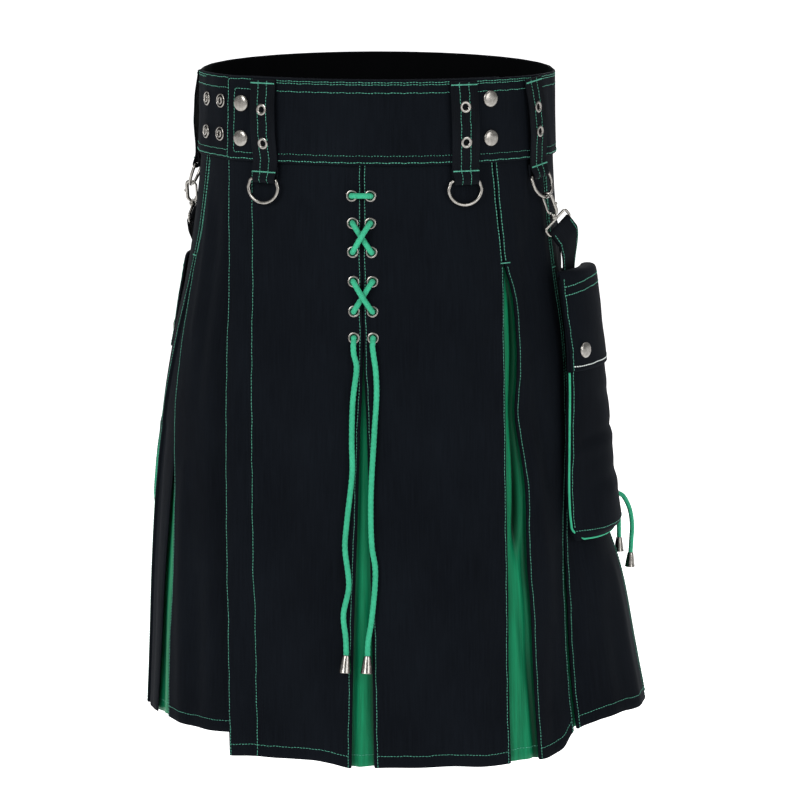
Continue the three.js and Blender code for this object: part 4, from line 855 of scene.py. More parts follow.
# ---------------------------------------------------------------- stitches on the skirt
def down_edge(g, side, offset, z_from=-30, z_to=-600):
    """The line down a panel at a distance from one of its edges."""
    P, N = g["outer"][:, g["c0"]:g["c1"]], g["N"][:, g["c0"]:g["c1"]]
    if side == "right":
        P, N = P[:, ::-1], N[:, ::-1]
    out, nn = [], []
    for j in range(len(P)):
        s = np.concatenate([[0], np.cumsum(np.linalg.norm(np.diff(P[j], axis=0), axis=1))])
        z = P[j][0][2]
        if not (z_to <= z <= z_from):
            continue
        out.append([np.interp(offset, s, P[j][:, k]) for k in range(3)])
        nn.append([np.interp(offset, s, N[j][:, k]) for k in range(3)])
    return np.array(out), np.array(nn)

def along_hem(g, offset, inset=1.5, c0=None, c1=None):
    P, N = g["outer"], g["N"]
    out, nn = [], []
    for i in range(g["c0"] if c0 is None else c0, g["c1"] if c1 is None else c1):
        col, cn = P[::-1, i], N[::-1, i]
        s = np.concatenate([[0], np.cumsum(np.linalg.norm(np.diff(col, axis=0), axis=1))])
        out.append([np.interp(offset, s, col[:, k]) for k in range(3)])
        nn.append([np.interp(offset, s, cn[:, k]) for k in range(3)])
    return np.array(out), np.array(nn)

HEM_FOLD = 10.5
for name in ("apron_left_cloth", "apron_right_cloth", "under_apron_cloth", "hip_left_1_cloth", "hip_left_2_cloth", "back_1_cloth", "back_2_cloth", "hip_right_cloth"):
    sew("skirt_hem_stitches", *along_hem(PIECE[name], HEM_FOLD), r=0.24)
for name in ("insert_centre_cloth", "insert_a_cloth", "insert_c_cloth", "insert_d_cloth", "insert_e_cloth", "insert_g_cloth"):
    sew("skirt_hem_stitches", *along_hem(PIECE[name], HEM_FOLD))
EDGE_ROWS = [  # panel, side, distance from the fold, from z, to z
    ("apron_left_cloth", "left", 1.2, -30, -600), ("apron_left_cloth", "left", 26.5, -44, -600),
    ("apron_left_cloth", "right", 0.3, -36, -600), ("apron_right_cloth", "left", 0.2, -36, -600),
    ("apron_right_cloth", "right", 0.0, -129, -600), ("hip_left_1_cloth", "left", 0.0, -129, -600),
    ("hip_left_1_cloth", "right", 0.1, -36, -600), ("hip_left_2_cloth", "left", 0.1, -36, -600),
    ("hip_left_2_cloth", "right", 0.1, -36, -600), ("back_1_cloth", "left", 0.1, -36, -600),
    ("back_1_cloth", "right", 0.1, -36, -600), ("back_2_cloth", "left", 0.1, -36, -600),
    ("back_2_cloth", "right", 0.1, -36, -600), ("hip_right_cloth", "left", 0.1, -36, -600),
    ("hip_right_cloth", "right", 0.1, -36, -600), ("under_apron_cloth", "left", 1.2, -36, -600)]
for name, side, off, z0, z1 in EDGE_ROWS:
    group = "front_edge_stitches" if name.startswith("apron") or name.startswith("under") else "side_edge_stitches"
    sew(group, *down_edge(PIECE[name], side, off, z0, z1))
# the closed upper part of pleats is sewn down with heavier thread, most of it in a second row
for name, side in (("apron_right_cloth", "right"), ("hip_left_1_cloth", "left")):
    sew("front_edge_stitches", *down_edge(PIECE[name], side, 0.0, -36, -129), r=0.38)
for name, side, off, z1 in (("under_apron_cloth", "left", 2.6, -131), ("hip_left_2_cloth", "left", 1.4, -139), ("back_1_cloth", "left", 1.4, -139),
                            ("back_2_cloth", "left", 1.4, -139), ("hip_right_cloth", "left", 1.4, -139)):
    sew("side_edge_stitches", *down_edge(PIECE[name], side, off, -40, z1), r=0.30)
for t, z, w in ((46.6, -129.5, 11), (-69.4, -132, 8), (75, -141, 8), (104.4, -141, 8), (165.6, -141, 9), (223.4, -141, 9)):
    p, q = at(t - 0.6, z, 0.8, folds=True), at(t + 0.6, z, 0.8, folds=True)
    up = at(t, z + 2, 0.8) - at(t, z - 2, 0.8)
    nn = unit(np.cross(q - p, up))
    tack("side_edge_stitches", (p + q) / 2, unit(q - p), unit(up), nn, w, 1.1, 0.3)

# ---------------------------------------------------------------- waistband
def band_out(phi):
    phi = np.asarray(phi, float)
    t = np.where(phi > 300, phi - 360, phi)
    over = BAND_GAP + BAND_WALL + np.maximum(apron_d(-38.0, t) * (1 - smooth(43, 47, t)), 0)
    under = BAND_GAP + BAND_WALL - 8.2 * smooth(-51, -37, t)
    return np.where(phi < 300, over, under)

def band_top(phi):
    return BAND_TOP + BAND_BACK_RISE * np.maximum(0, -np.cos(np.radians(phi)))

def band_ripple(phi, z):
    """Soft unevenness of the stiffened band: the layers inside it, and pull at the loops."""
    k = 0.35 * np.sin(np.radians(phi) * 17 + 0.8) * np.sin((z + 5) / 16.0) + 0.25 * np.sin(np.radians(phi) * 31 + z / 20.0)
    return k * smooth(0, 6, phi - TAB_END)

BN = 380
phis = np.linspace(TAB_END, UNDER_BAND_END + 360, BN)
vs = np.concatenate([[0, 0.02, 0.05], np.linspace(0.1, 0.9, 13), [0.95, 0.98, 1.0]])
PH, VV = np.meshgrid(phis, vs)
ZZ = band_top(PH) + (BAND_BOTTOM - band_top(PH)) * VV
Pb = at(PH, ZZ, band_out(PH) - BAND_WALL / 2 + band_ripple(PH, ZZ))
band = cloth("waistband_cloth", Pb, BAND_WALL - 0.3, BLACK, ["waistband"], ref=60, inside=True)

def on_band(phi, z, lift=0.0):
    phi, z = np.broadcast_arrays(np.asarray(phi, float), np.asarray(z, float))
    d = band_out(phi) - 0.15 + band_ripple(phi, z) + lift
    p = at(phi, z, d)
    e = 0.4
    u = at(phi + e, z, band_out(phi + e) - 0.15) - at(phi - e, z, band_out(phi - e) - 0.15)
    v = at(phi, z + 1, d) - at(phi, z - 1, d)
    return p, unit(np.cross(u, v))

def band_row(phi0, phi1, below=None, above=None, **kw):
    ph = np.linspace(phi0, phi1, max(3, int(abs(phi1 - phi0) * 2)))
    z = band_top(ph) - below if below is not None else BAND_BOTTOM + above + 0 * ph
    sew("band_stitches", *on_band(ph, z), **kw)

for a, b in ((-29.5, 28.2), (35.4, 62), (69, 117.5), (124.5, 199.5), (206.5, 261.5), (268.5, 291.5)):
    band_row(a, b, below=1.4)
    band_row(a, b, below=3.4)
    band_row(a, b, below=10.6)
    band_row(a, b, above=1.6, r=0.36)
    band_row(a, b, above=7.6, r=0.22, length=1.6, gap=1.2)
band_row(291.5, 312.5, below=1.4)
band_row(291.5, 312.5, below=10.6)
band_row(291.5, 312.5, above=1.6, r=0.34)
band_row(291.5, 312.5, above=7.6, r=0.24)
def band_line(points, **kw):
    """A stitched line through (phi, z) corners on the band."""
    pts = []
    for (p0, z0), (p1, z1) in zip(points[:-1], points[1:]):
        n = max(4, int(math.hypot((p1 - p0) * 2.6, z1 - z0) / 2))
        pts += [(p0 + (p1 - p0) * k / n, z0 + (z1 - z0) * k / n) for k in range(n)]
    pts.append(points[-1])
    pts = np.array(pts)
    sew("band_stitches", *on_band(pts[:, 0], pts[:, 1]), **kw)
band_line([(-48.4, -36.5), (-48.6, 33.2), (-47.6, 34.8), (-38, 34.9)])
band_line([(-38.8, 26.0), (-45.4, 26.0), (-45.7, 22), (-45.7, -28), (-45.4, -31.0), (-37.6, -31.0)])
band_line([(-48.4, -36.2), (-37.6, -36.2)], r=0.4)

# ---------------------------------------------------------------- belt loops and D-rings
LOOPS = [("front_r", -33, 0, 4.2, 1.8), ("front_l", 31.8, 0, 3.0, 0.5), ("side_l", 65.6, 6, 9.5, 0),
         ("rear_l", 121, 0, 9.5, 0), ("side_r", -95, 0, 9.5, 0), ("rear_r", -157, 0, 9.5, 0)]

def frame_at(t):
    s, c = math.sin(math.radians(t)), math.cos(math.radians(t))
    a = float(np.interp(-BAR_Z, [40, 100], [164.2, 171])) if s < 0 else float(np.interp(-BAR_Z, [40, 100], [163.1, 167]))
    b = float(np.interp(-BAR_Z, [40, 100], [123.7, 131])) if c >= 0 else float(np.interp(-BAR_Z, [40, 100], [121.2, 128]))
    n = unit(np.array([b * s, -a * c, 0]))
    return n, np.array([-n[1], n[0], 0.0])

def cad_at(t, z, d=0.0):
    """The form as the CAD has it, straight between the table's rows."""
    k = lambda i: float(np.interp(z, _f[::-1, 0], _f[::-1, i]))
    s, c = math.sin(math.radians(t)), math.cos(math.radians(t))
    a, b = (k(2) if s >= 0 else k(1)), (k(3) if c >= 0 else k(4))
    nx, ny = b * s, -a * c
    n = math.hypot(nx, ny)
    out = d + float(dent(wrap(t), z))
    return np.array([a * s + out * nx / n, -b * c + out * ny / n, z])

def turn(v, n, deg):
    c, s = math.cos(math.radians(deg)), math.sin(math.radians(deg))
    return v * c + np.cross(n, v) * s + n * n.dot(v) * (1 - c)

EYELET = [(3.0, -0.2), (4.9, -0.2), (5.2, 0.15), (5.1, 0.75), (4.4, 1.15), (3.5, 1.1), (2.75, 0.6), (2.6, -0.1), (3.0, -0.2)]
def eyelet(pos, axis, scale=1.0, name=None):
    V, f = lathe_data([(r * scale, h) for r, h in EYELET], pos, axis, 28)
    return V, f
# a flat near-black disc in a hole: painted shade
def hole_shade_disc(pos, axis, r):
    return lathe_data([(0, 0.05), (r, 0.05), (r, 0.12), (0, 0.12)], pos, axis, 24)

metal_small, hole_shade_discs = [], []
rings = {}
for name, t, turned, out, skirt in LOOPS:
    n, tan = frame_at(t)
    base = lambda z, d: cad_at(t, z, d).dot(n)
    bar_n = base(BAR_Z, skirt + 0.5 + LOOP_WALL + FOLD_R)
    O = cad_at(t, BAR_Z, 0)
    O = O + n * (bar_n - O.dot(n))
    face = lambda z: max(float(at(t + k, z, band_out(t + k + (360 if t + 0 < TAB_END else 0))).dot(n)) for k in (-5.4, 0, 5.4)) - bar_n
    h, m = LOOP_WALL / 2, FOLD_R + LOOP_WALL / 2
    line = [(face(34.5) + 0.35 + h, 34.5 - BAR_Z), (face(31) + 0.45 + h, 31 - BAR_Z), (face(24) + 1.4 + h, 24 - BAR_Z), (face(12) + 2.9 + h, 12 - BAR_Z), (face(-2) + 3.3 + h, -2 - BAR_Z),
            (face(-14) + 3.4 + h, -14 - BAR_Z), (face(-27) + 2.0 + h, -27 - BAR_Z), (face(-36) + 0.9 + h, -36 - BAR_Z), (max(-m + LOOP_WALL + 0.6, -1.0 + h), -45 - BAR_Z)]
    for i in range(9):
        a = math.radians(20 - i * 25)
        line.append((m * math.cos(a), m * math.sin(a)))
    line.append((-m, -42.5 - BAR_Z))
    q = resample(curve_through(np.array([(x, y, 0) for x, y in line]), 1.2), 1.3)
    V3, T3 = turn(np.array([0, 0, 1.0]), n, turned), turn(tan, n, turned)
    w = np.concatenate([[-12.5, -12.1], np.linspace(-11, 11, 11), [12.1, 12.5]])
    sag = 0.25 * np.cos(w / 12.5 * np.pi / 2)
    lean = {"front_r": (-2.0, 1.6), "front_l": (-0.6, 1.0), "side_l": (0.5, -0.5)}.get(name, (0.6, -0.6))
    shear = lean[1] + (lean[0] - lean[1]) * smooth(-8, 92, q[:, 1])
    narrow = 1 - 0.10 * np.exp(-((q[:, 1]) / 7.0) ** 2)
    P = O + n * (q[:, None, 0:1] + 0.35 * sag[None, :, None]) + V3 * q[:, None, 1:2] + T3 * (w[None, :, None] * narrow[:, None, None] + shear[:, None, None])
    g = cloth("loop_" + name, P, LOOP_WALL - 0.1, WEB, ["belt_loop_" + name], ref=None)
    outer, N = g["outer"], g["N"]
    if float((N[4, 7] * n).sum()) < 0:
        outer, N = 2 * P - outer, -N
    zz = q[:, 1]
    last = int(np.argmin(zz)) + 1
    for off in (-4.5, 4.5):
        k = np.interp(off, w, np.arange(len(w)))
        k0, kf = int(k), k - int(k)
        line3 = outer[:last, k0] * (1 - kf) + outer[:last, min(k0 + 1, len(w) - 1)] * kf
        sew("loop_stitches", line3, N[:last, k0])
    z_low, eyes = {"front_l": (-45.0, (12.8, -19.2)), "side_l": (-45.0, (9.0, -13.8))}.get(name, (-47.2, (8.6, -22.0)))
    for z_t in (31.6, z_low):
        j = int(np.argmin(np.abs(zz[:last] - (z_t - BAR_Z))))
        up = unit(outer[max(j - 1, 0), 7] - outer[j + 1, 7])
        tack("loop_stitches", outer[j, 7], T3, up, N[j, 7], 25, 1.25, 0.34)
    for z_e in eyes:
        j = int(np.argmin(np.abs(zz[:last] - (z_e - BAR_Z))))
        metal_small.append(eyelet(outer[j, 7], N[j, 7]))
        hole_shade_discs.append(hole_shade_disc(outer[j, 7], N[j, 7], 2.75))
    # the ring: a straight bar in the loop's fold and a round bow
    low = cad_at(t, BAR_Z - RING_DROP, out)
    down = unit(-V3 * RING_DROP + n * (low.dot(n) - O.dot(n)))
    pts = [(-11, 0), (11, 0)]
    for i in range(1, 7):
        a = math.radians(-90 + i * 15)
        pts.append((11 + 3.5 * math.cos(a), 3.5 + 3.5 * math.sin(a)))
    wide = 1.3 if name.startswith("front") else 0.0
    for i in range(0, 25):
        a = i / 24 * math.pi
        pts.append(((RING_HALF + wide) * math.cos(a), RING_DROP - RING_HALF + RING_HALF * math.sin(a)))
    for i in range(0, 6):
        a = math.radians(180 + i * 15)
        pts.append((-11 + 3.5 * math.cos(a), 3.5 + 3.5 * math.sin(a)))
    ring_path = resample(np.array([O + T3 * x + down * y for x, y in pts]), 1.1, True)
    V, f = tube_data(ring_path, WIRE_R, 14, True, start=np.cross(T3, down))
    body = "d_ring_" + name if name.startswith("front") else "root"
    build("ring_" + name, V, f, None, METAL, body, ["d_ring_" + name])
    rings[name] = (O, T3, n, down, O + down * RING_DROP)

# ---------------------------------------------------------------- snaps and eyelets
CAP = [(0, 0), (7.2, 0), (7.4, 0.2), (7.35, 0.75), (6.9, 1.35), (5.8, 1.9), (4.2, 2.25), (2.2, 2.42), (0, 2.48)]
SOCKET = [(5.0, 0), (6.2, 0), (6.45, 0.2), (6.4, 0.8), (6.0, 1.3), (5.5, 1.4), (5.15, 1.1), (5.0, 0.4), (5.0, 0)]
SOCKET_HUB = [(2.0, 0), (3.5, 0), (3.6, 1.2), (3.3, 1.9), (2.8, 2.15), (2.3, 1.9), (2.1, 1.2), (2.0, 0)]
SNAPS = [("snap_tab_top", -42.8, 13, 0), ("snap_tab_low", -42.8, -18.5, 0), ("snap_left_top", 41.8, 18.5, 0), ("snap_left_low", 41.8, -16.5, 0),
         ("socket_in_top", -55.3, 13, 1), ("socket_in_low", -55.3, -17, 1), ("socket_out_top", -66.3, 13, 1), ("socket_out_low", -66.3, -17, 1)]
for name, t, z, socket in SNAPS:
    p, nn = on_band(t if t >= TAB_END else t + 360, z)
    if socket:
        V, f = join([lathe_data(SOCKET, p + nn * 0.15, nn, 36), lathe_data(SOCKET_HUB, p + nn * 0.15, nn, 28),
                     lathe_data([(0, 0.2), (1.1, 0.2), (1.1, 0.6), (0, 0.8)], p + nn * 0.15, nn, 16)])
        hole_shade_discs.append(lathe_data([(0, 0.1), (5.2, 0.1), (5.2, 0.35), (0, 0.35)], p + nn * 0.1, nn, 28))
    else:
        V, f = lathe_data(CAP, p + nn * 0.15, nn, 36)
    build(name + "_cap", V, f, None, METAL, "root", [name], sharp=50)
for z, xl, xr in LACE_ROWS:
    for x in (xl, xr):
        p = lp(x, z, 0.55)
        ax = unit(lp(x, z, 2.0) - lp(x, z, 0.0))
        V, f = lathe_data([(3.2, -0.3), (4.8, -0.3), (5.1, 0.1), (5.0, 0.7), (4.4, 1.0), (3.7, 0.8), (3.1, 0.2), (3.2, -0.3)], p, ax, 28)
        metal_small.append((V, f))
        hole_shade_discs.append(lathe_data([(0, 0.02), (3.3, 0.02), (3.3, 0.1), (0, 0.1)], p, ax, 24))

# ---------------------------------------------------------------- hip pouches
POUCH_ROWS = np.array([(-150, 68.6, 120.0, 10.5, 14.0, 16.5, 30.5), (-180, 69.0, 120.0, 10.5, 14.2, 16.5, 31.0), (-215, 69.8, 120.5, 9.0, 14.0, 13.5, 30.8),
                       (-250, 68.8, 120.5, 7.0, 13.2, 9.5, 29.5), (-300, 65.8, 118.5, 4.6, 11.5, 5.5, 26.5), (-345, 62.9, 115.5, 4.0, 10.5, 4.0, 22.5),
                       (-380, 61.8, 113.5, 3.6, 9.5, 3.6, 18.5), (-390, 61.9, 113.0, 4.6, 8.6, 4.6, 13.5)], float)
_pr = {k: curve_of(POUCH_ROWS[:, 0], POUCH_ROWS[:, i + 1]) for i, k in enumerate(("t0", "t1", "back", "edge", "inner", "front"))}
FLAP_LOW = -234
POUCHES = [("l", 0, 1), ("r", -38, -1)]
# each strap: the ring it hangs from, where its hook points to (angle, height, distance), the
# strap's foot (angle, distance), and how far the loop turns, tilts and the foot turns, in degrees
STRAPS = {"l": [("f", "side_l", 72, -107.5, 12.6, 78.4, 7.9, 32, 18, 8), ("r", "rear_l", 118.5, -108, 11, 114, 5.2, 10, -6, 0)],
          "r": [("f", "side_r", 63.5, -108, 9, 78, 5.0, 5, 10, 0), ("r", "rear_r", 118.2, -108, 11, 114.5, 5.2, 6, -5, 0)]}
FOOT_Z = -172
# creases of the pouch's front: share of its width and height at each end, half width and height in mm
POUCH_CREASES = [(0.1, -300, 0.7, -292, 5, -1.4), (0.05, -309, 0.6, -304, 6, 1.2), (0.3, -262, 0.9, -268, 6, -0.9), (0.2, -340, 0.8, -332, 7, -1.1),
                 (0.35, -350, 0.9, -346, 6, 1.0), (0.5, -255, 0.45, -290, 8, 0.8), (0.75, -280, 0.8, -340, 9, -0.9)]

def pouch_crease(f, z):
    out = np.zeros(np.broadcast(f, z).shape)
    for fa, za, fb, zb, w, h in POUCH_CREASES:
        px, pz, dx, dz = (f - fa) * 150, z - za, (fb - fa) * 150, zb - za
        u = np.clip((px * dx + pz * dz) / (dx * dx + dz * dz), 0, 1)
        out = out + h * np.exp(-(np.hypot(px - u * dx, pz - u * dz) / w) ** 2)
    return out

def sag(f, z):
    """How far the pouch's mouth has sunk towards its rear end, in mm."""
    return 16 * smooth(0.40, 0.80, f) * smooth(-225, -150, z)

for pn, shift, sign in POUCHES:
    TT = (lambda sg, sh: lambda t: sg * t + (sh if sg < 0 else 0))(sign, shift)
    bow = lambda f: np.clip(np.sin(np.clip(f, 0, 1) * np.pi), 0, 1) ** 0.6
    face_d = lambda f, z: _pr["edge"](z) + (_pr["front"](z) - _pr["edge"](z)) * bow(f)
    back_d = lambda f, z: _pr["back"](z) + (_pr["inner"](z) - _pr["back"](z)) * bow(f)
    # bag: round the back, the end, the front and the other end
    n_b, n_f = 30, 44
    zrow = np.concatenate([np.linspace(-150, -378, 54), [-381.5, -384.5, -386.8, -388.4, -389.4, -389.9]])
    fb, ff = np.linspace(0.03, 0.97, n_b), np.linspace(0.986, 0.014, n_f)
    share = np.concatenate([fb, [1, 1, 1], ff, [0, 0, 0]])
    Pg = []
    for z in zrow:
        t0, t1, bk, ed = (float(_pr[k](z)) for k in ("t0", "t1", "back", "edge"))
        close = float(smooth(-384, -390.5, z))
        pinch = lambda d, c=close, bk=bk, ed=ed: d * (1 - 0.86 * c) + ((bk + ed) / 2 + 1.5) * 0.86 * c
        row = [(t0 + (t1 - t0) * f, pinch(float(back_d(f, z)) + 0.7)) for f in fb]
        row += [(t1 - 0.45, pinch(bk + 1.8)), (t1 - 0.2, pinch(bk + (ed - bk) * 0.5)), (t1 - 0.45, pinch(ed - 1.8))]
        row += [(t0 + (t1 - t0) * f, pinch(float(face_d(f, z)) - 0.7 + float(pouch_crease(f, z)))) for f in ff]
        row += [(t0 + 0.45, pinch(ed - 1.8)), (t0 + 0.2, pinch(bk + (ed - bk) * 0.5)), (t0 + 0.45, pinch(bk + 1.8))]
        row = np.array(row)
        Pg.append(at(TT(row[:, 0]), z - sag(share, z), row[:, 1]))
    Pg = np.array(Pg)
    bag = cloth("pouch_" + pn, Pg, 1.3, BLACK, ["pouch_bag_" + pn], closed=True, ref=n_b + 3 + n_f // 2)
    # flap
    fl = np.concatenate([[0, 0.008], np.linspace(0.03, 0.97, 44), [0.992, 1.0]])
    cols = []
    for f in fl:
        F = lambda z: float(face_d(f, z))
        B = float(back_d(f, -150))
        line = [(-147, B + 2.0), (-143.5, B + 2.3), (-142, (B + F(-150)) / 2 + 0.6), (-143.5, F(-150) + 0.8), (-150, F(-150) + 2.0), (-165, F(-165) + 1.9), (-180, F(-180) + 1.8),
                (-198, F(-198) + 1.7), (-215, F(-215) + 1.7), (FLAP_LOW, F(FLAP_LOW) + 1.8)]
        q = resample(curve_through(np.array([(z, d, 0) for z, d in line]), 1.0), 2.2)
        k = np.linspace(0, len(q) - 1, 52)
        z_, d_ = np.interp(k, np.arange(len(q)), q[:, 0]), np.interp(k, np.arange(len(q)), q[:, 1])
        d_ = d_ + 0.8 * np.exp(-(((z_ + 200) / 14) ** 2)) * np.sin(f * 9) * smooth(-150, -190, z_)
        zc = np.minimum(z_, -150)
        t = _pr["t0"](zc) + (_pr["t1"](zc) - _pr["t0"](zc)) * f + (-0.8 if f < 0.5 else 0.8) * (1 - math.sin(f * math.pi))
        cols.append(at(TT(t), z_ - sag(f, zc), d_))
    Pf = np.array(cols).transpose(1, 0, 2)
    flap = cloth("pouch_flap_cloth_" + pn, Pf, 1.4, BLACK, ["pouch_flap_" + pn], ref=None)
    outer, N = flap["outer"], flap["N"]
    c = at(TT(97), -190, 60) - at(TT(97), -190, 0)
    if float(N[40, 24].dot(c)) < 0:
        outer, N = 2 * Pf - outer, -N
    zf = Pf[:, 24, 2]
    top_row = int(np.argmax(zf))
    low_rows = np.arange(top_row + 3, len(zf))
    def flap_row(z, r=0.36, group="pouch_stitches", inset=1):
        j = low_rows[int(np.argmin(np.abs(zf[low_rows] - z)))]
        sew(group, outer[j, inset:-inset], N[j, inset:-inset], r=r)
    flap_row(-152.5)
    flap_row(-160.5)
    flap_row(FLAP_LOW + 3.6, 0.5, "pouch_white_stitches")
    for i in (1, len(fl) - 2):
        sew("pouch_stitches", outer[top_row + 2:, i], N[top_row + 2:, i])
    # stitches and green piping down the bag's edges and along its bottom
    ob, Nb = bag["outer"], bag["N"]
    i0, i1 = n_b + 3 + n_f - 1, n_b + 3
    rows_b = np.nonzero((zrow < -228) & (zrow > -381))[0]
    sew("pouch_stitches", ob[rows_b, i0], Nb[rows_b, i0])
    sew("pouch_stitches", ob[rows_b, i1], Nb[rows_b, i1])
    jb = int(np.argmin(np.abs(zrow + 381.5)))
    cols_b = np.arange(i1, i0 + 1)
    sew("pouch_stitches", ob[jb, cols_b], Nb[jb, cols_b])
    edge_line = [at(TT(float(_pr["t0"](z)) - 0.15), z, float(_pr["edge"](z)) - 1.0) for z in np.linspace(-236, -383, 40)]
    bottom = [at(TT(float(_pr["t0"](-390)) * (1 - k) + float(_pr["t1"](-390)) * k), -390.2 + 3.0 * (2 * k - 1) ** 10, 8.4) for k in np.linspace(0.02, 0.98, 44)]
    other_edge = [at(TT(float(_pr["t1"](z)) + 0.15), z, float(_pr["edge"](z)) - 1.0) for z in np.linspace(-383, -236, 40)]
    pipe = curve_through(np.array(edge_line[:-1] + bottom[2:-2] + other_edge[1:]), 2.0)
    V, f = tube_data(pipe, 1.05, 8)
    pp = build("pouch_piping_" + pn, V, f, None, CORD, "root")
    # snaps on the flap
    for which, f_s in (("f", 0.1), ("r", 0.9)):
        i = int(np.argmin(np.abs(fl - f_s)))
        j = low_rows[int(np.argmin(np.abs(zf[low_rows] + 214.5)))]
        V, f = lathe_data(CAP, outer[j, i] + N[j, i] * 0.1, N[j, i], 36)
        build("pouch_snap_cap_" + which + "_" + pn, V, f, None, METAL, "root", ["pouch_snap_" + which + "_" + pn], sharp=50)
    # snap hooks and straps
    for which, ring_name, aim_t, aim_z, aim_d, foot_t, foot_d, turn_deg, tilt_deg, foot_turn in STRAPS[pn]:
        p0 = rings[ring_name][4]
        hook_dir = unit(cad_at(TT(aim_t), aim_z, aim_d) - p0)
        nrm = unit(cad_at(TT(aim_t), aim_z, 20) - cad_at(TT(aim_t), aim_z, 0))
        W = unit(np.cross(hook_dir, nrm))
        N1 = unit(np.cross(W, hook_dir))
        half, ln = 4.7, 11
        top_y = WIRE_R + 0.8 + HOOK_R
        eye, rad = [], []
        for i in range(56):
            g = i / 56 * 2 * math.pi
            yy = ln - top_y - math.cos(g) * half + (-(ln - half) if math.cos(g) > 0 else ln - half)
            eye.append(p0 + N1 * half * math.sin(g) + hook_dir * yy)
            rad.append(HOOK_R * (1.0 + 0.38 * smooth(0.2, 0.9, math.sin(g)) - 0.18 * smooth(0.3, 0.9, -math.sin(g))))
        # even out the long straight sides of the eye
        eye = np.array(eye)
        closed_line = np.vstack([eye, eye[:1]])
        s = np.concatenate([[0], np.cumsum(np.linalg.norm(np.diff(closed_line, axis=0), axis=1))])
        ss = np.linspace(0, s[-1], 72, endpoint=False)
        rad = np.interp(ss, s, np.append(rad, rad[0]))
        eye = np.stack([np.interp(ss, s, closed_line[:, k]) for k in range(3)], -1)
        parts = [tube_data(eye, rad, 12, True, start=W)]
        yb = 2 * ln - top_y
        parts.append(lathe_data([(0, 0), (2.3, 0), (2.7, 0.5), (2.9, 1.6), (2.5, 2.1), (2.5, 2.6), (3.2, 3.0), (3.3, 4.4), (3.0, 5.2), (2.2, 5.6), (2.1, 6.6), (0, 6.8)], p0 + hook_dir * (yb - 1.2), hook_dir, 24))
        parts.append(lathe_data([(0, 0), (1.1, 0), (1.5, 0.4), (1.5, 1.6), (1.1, 2.0), (0, 2.0)], p0 + hook_dir * (yb * 0.42) + N1 * (half + 0.9), N1, 16))
        top0, hw, deep = p0 + hook_dir * (yb + 5.2), STRAP_W / 2 + 0.6 + HOOK_R, 9.0
        tr, tl = math.radians(turn_deg), math.radians(tilt_deg)
        side0 = unit(W * (-sign * math.cos(tr)) + N1 * math.sin(tr))
        wide = side0 * math.cos(tl) - hook_dir * math.sin(tl)
        drop = hook_dir * math.cos(tl) + side0 * math.sin(tl)
        face_n = unit(np.cross(wide, drop))
        if face_n.dot(nrm) < 0:
            face_n = -face_n
        corners, loop_pts = [(-hw, 0.0), (hw, 0.0), (hw, deep), (-hw, deep)], []
        for k, (x, y) in enumerate(corners):
            cx, cy = x - math.copysign(2.4, x), y + (2.4 if y == 0.0 else -2.4)
            start_a = [180, 270, 0, 90][k]
            for i in range(7):
                a = math.radians(start_a + i * 15)
                loop_pts.append(top0 + wide * (cx + 2.4 * math.cos(a)) + drop * (cy + 2.4 * math.sin(a)))
        parts.append(tube_data(resample(np.array(loop_pts), 1.2, True), HOOK_R, 12, True, start=face_n))
        V, f = join(parts)
        build("hook_" + which + "_" + pn, V, f, None, METAL, "root", ["pouch_hook_" + which + "_" + pn], sharp=50)
        bar = top0 + drop * deep
        foot = cad_at(TT(foot_t), FOOT_Z, foot_d)
        along = unit(cad_at(TT(foot_t + 1), FOOT_Z, foot_d) - cad_at(TT(foot_t - 1), FOOT_Z, foot_d))
        out_n = unit(cad_at(TT(foot_t), FOOT_Z, foot_d + 10) - foot)
        ft = math.radians(foot_turn)
        foot_wide = along * math.cos(ft) + out_n * math.sin(ft)
        if foot_wide.dot(wide) < 0:
            foot_wide = -foot_wide
        m = HOOK_R + 0.4 + STRAP_WALL / 2
        fold_pts = [(-m + 0.3, 15), (-m, 9), (-m, 4)] + [(m * math.cos(-i / 7 * math.pi), m * math.sin(-i / 7 * math.pi)) for i in range(7, -1, -1)] + [(m, 5)]
        pts = [bar + face_n * x + drop * y for x, y in fold_pts]
        mix = [0.0] * len(pts)
        s0 = bar + face_n * m + drop * 10
        reach = 0.2 * float(np.linalg.norm(s0 - foot))
        c1, c2 = s0 + drop * reach * 0.5, foot + np.array([0, 0, 2.7 * reach])
        for i in range(15):
            k = i / 14
            pts.append(s0 * (1 - k) ** 3 + c1 * 3 * k * (1 - k) ** 2 + c2 * 3 * k * k * (1 - k) + foot * k ** 3)
            mix.append(float(smooth(0, 0.7, k)))
        both = resample(np.hstack([np.array(pts), np.array(mix)[:, None] * 0.01]), 1.3)
        pts, mix = both[:, :3], both[:, 3:] * 100
        across = unit(wide * (1 - mix) + foot_wide * mix)
        w = np.concatenate([[-12, -11.6], np.linspace(-10.6, 10.6, 9), [11.6, 12]])
        P = pts[:, None] + across[:, None] * w[None, :, None]
        st = cloth("strap_" + which + "_" + pn, P, STRAP_WALL - 0.25, WEB, ["pouch_strap_" + which + "_" + pn])
        so, sn = st["outer"], st["N"]
        mid_row = len(pts) * 2 // 3
        if float(sn[mid_row, 6].dot(nrm)) < 0:
            so, sn = 2 * P - so, -sn
        front_rows = np.arange(int(np.argmin((pts - bar).dot(drop)[:25])) + 3, len(pts))
        for k in (2, 10):
            sew("pouch_stitches", so[front_rows, k], sn[front_rows, k])
    if pn == "l":
        for t_e, z_e in ((97, -366.3), (101.8, -366.8)):
            f_e = (t_e - float(_pr["t0"](z_e))) / float(_pr["t1"](z_e) - _pr["t0"](z_e))
            p = at(t_e, z_e, float(face_d(f_e, z_e)) + float(pouch_crease(f_e, z_e)) + 0.2)
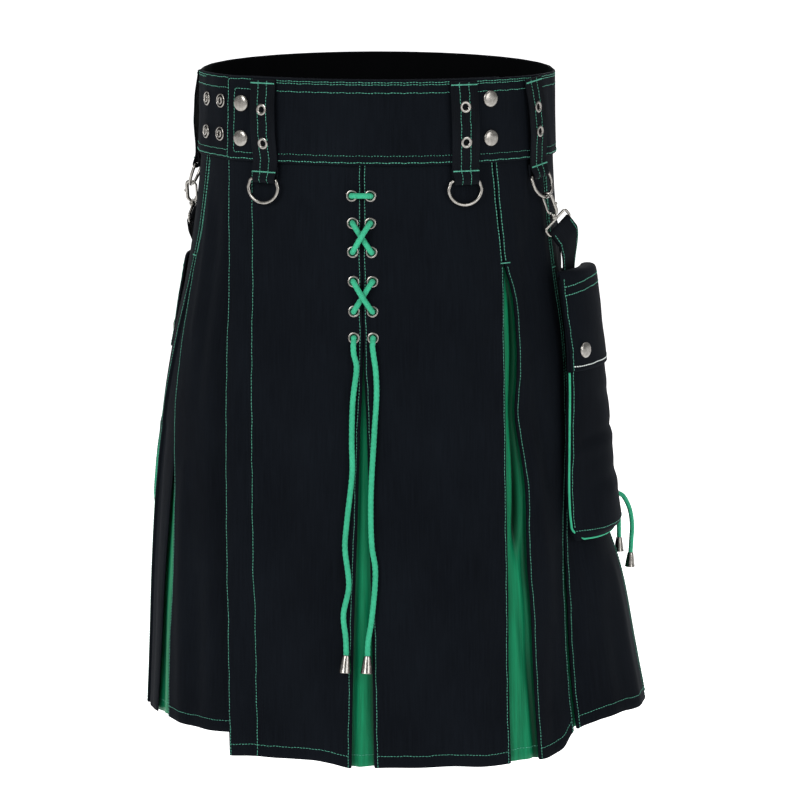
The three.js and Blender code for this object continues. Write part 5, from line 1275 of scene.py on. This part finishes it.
            ax = unit(at(t_e, z_e, 30) - at(t_e, z_e, 20))
            metal_small.append(eyelet(p, ax, 0.82))

V, f = join(metal_small)
build("eyelets", V, f, None, METAL, "root", sharp=50)
# the dark discs of painted shade in the eyelet and socket holes
V, f = join(hole_shade_discs)
build("eyelet_hole_shade_discs", V, f, None, HOLE_SHADE, "root")
for group, parts in SEWN.items():
    V, f = join(parts)
    white = group == "pouch_white_stitches"
    build(group, V, f, None, WHITE_THREAD if white else THREAD, "root")

# ---------------------------------------------------------------- floor and light
def plain(name, colour, glow):
    m, nt, b = node_material(name)
    co = nt.nodes.new("ShaderNodeTexCoord")
    n = noise(nt, co.outputs["Object"], 3.0, 2, 0.5)
    link(nt, ramp(nt, n.outputs["Fac"], [(0.3, tuple(c * 0.995 for c in colour)), (0.7, colour)]), b.inputs["Base Color"])
    b.inputs["Roughness"].default_value = 0.9
    b.inputs["Specular IOR Level"].default_value = 0.1
    b.inputs["Emission Color"].default_value = (1, 1, 1, 1)
    b.inputs["Emission Strength"].default_value = glow
    return m
me = bpy.data.meshes.new("floor")
S, FZ = 400.0, -1.0
me.from_pydata([(-S, -S, FZ), (S, -S, FZ), (S, S, FZ), (-S, S, FZ)], [], [(0, 1, 2, 3)])
me.materials.append(plain("pale_floor", (0.92, 0.92, 0.92), 0.85))
floor = bpy.data.objects.new("floor", me)
scene.collection.objects.link(floor)
floor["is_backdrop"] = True

def area(name, loc, target, size, power, colour=(1, 1, 1)):
    d = bpy.data.lights.new(name, "AREA")
    d.shape = "RECTANGLE"
    d.size, d.size_y = size
    d.energy = power
    d.color = colour
    o = bpy.data.objects.new(name, d)
    o.location = loc
    from mathutils import Vector
    o.rotation_euler = (Vector(target) - Vector(loc)).to_track_quat("-Z", "Y").to_euler()
    scene.collection.objects.link(o)
    return o
area("key", (-1.5, -2.4, 1.5), (0, 0, -0.25), (1.3, 1.6), 62)
area("fill", (2.0, -2.1, 0.7), (0, 0, -0.3), (1.4, 1.6), 30)
area("top", (0.0, 0.3, 2.3), (0, 0, -0.2), (2.0, 1.6), 24)
area("back", (0.2, 2.6, 1.3), (0, 0, -0.3), (2.0, 1.4), 45)
world = bpy.data.worlds.new("studio")
scene.world = world
world.use_nodes = True
world.node_tree.nodes["Background"].inputs["Color"].default_value = (1, 1, 1, 1)
world.node_tree.nodes["Background"].inputs["Strength"].default_value = 0.42
scene.view_settings.view_transform = "Standard"

low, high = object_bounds()
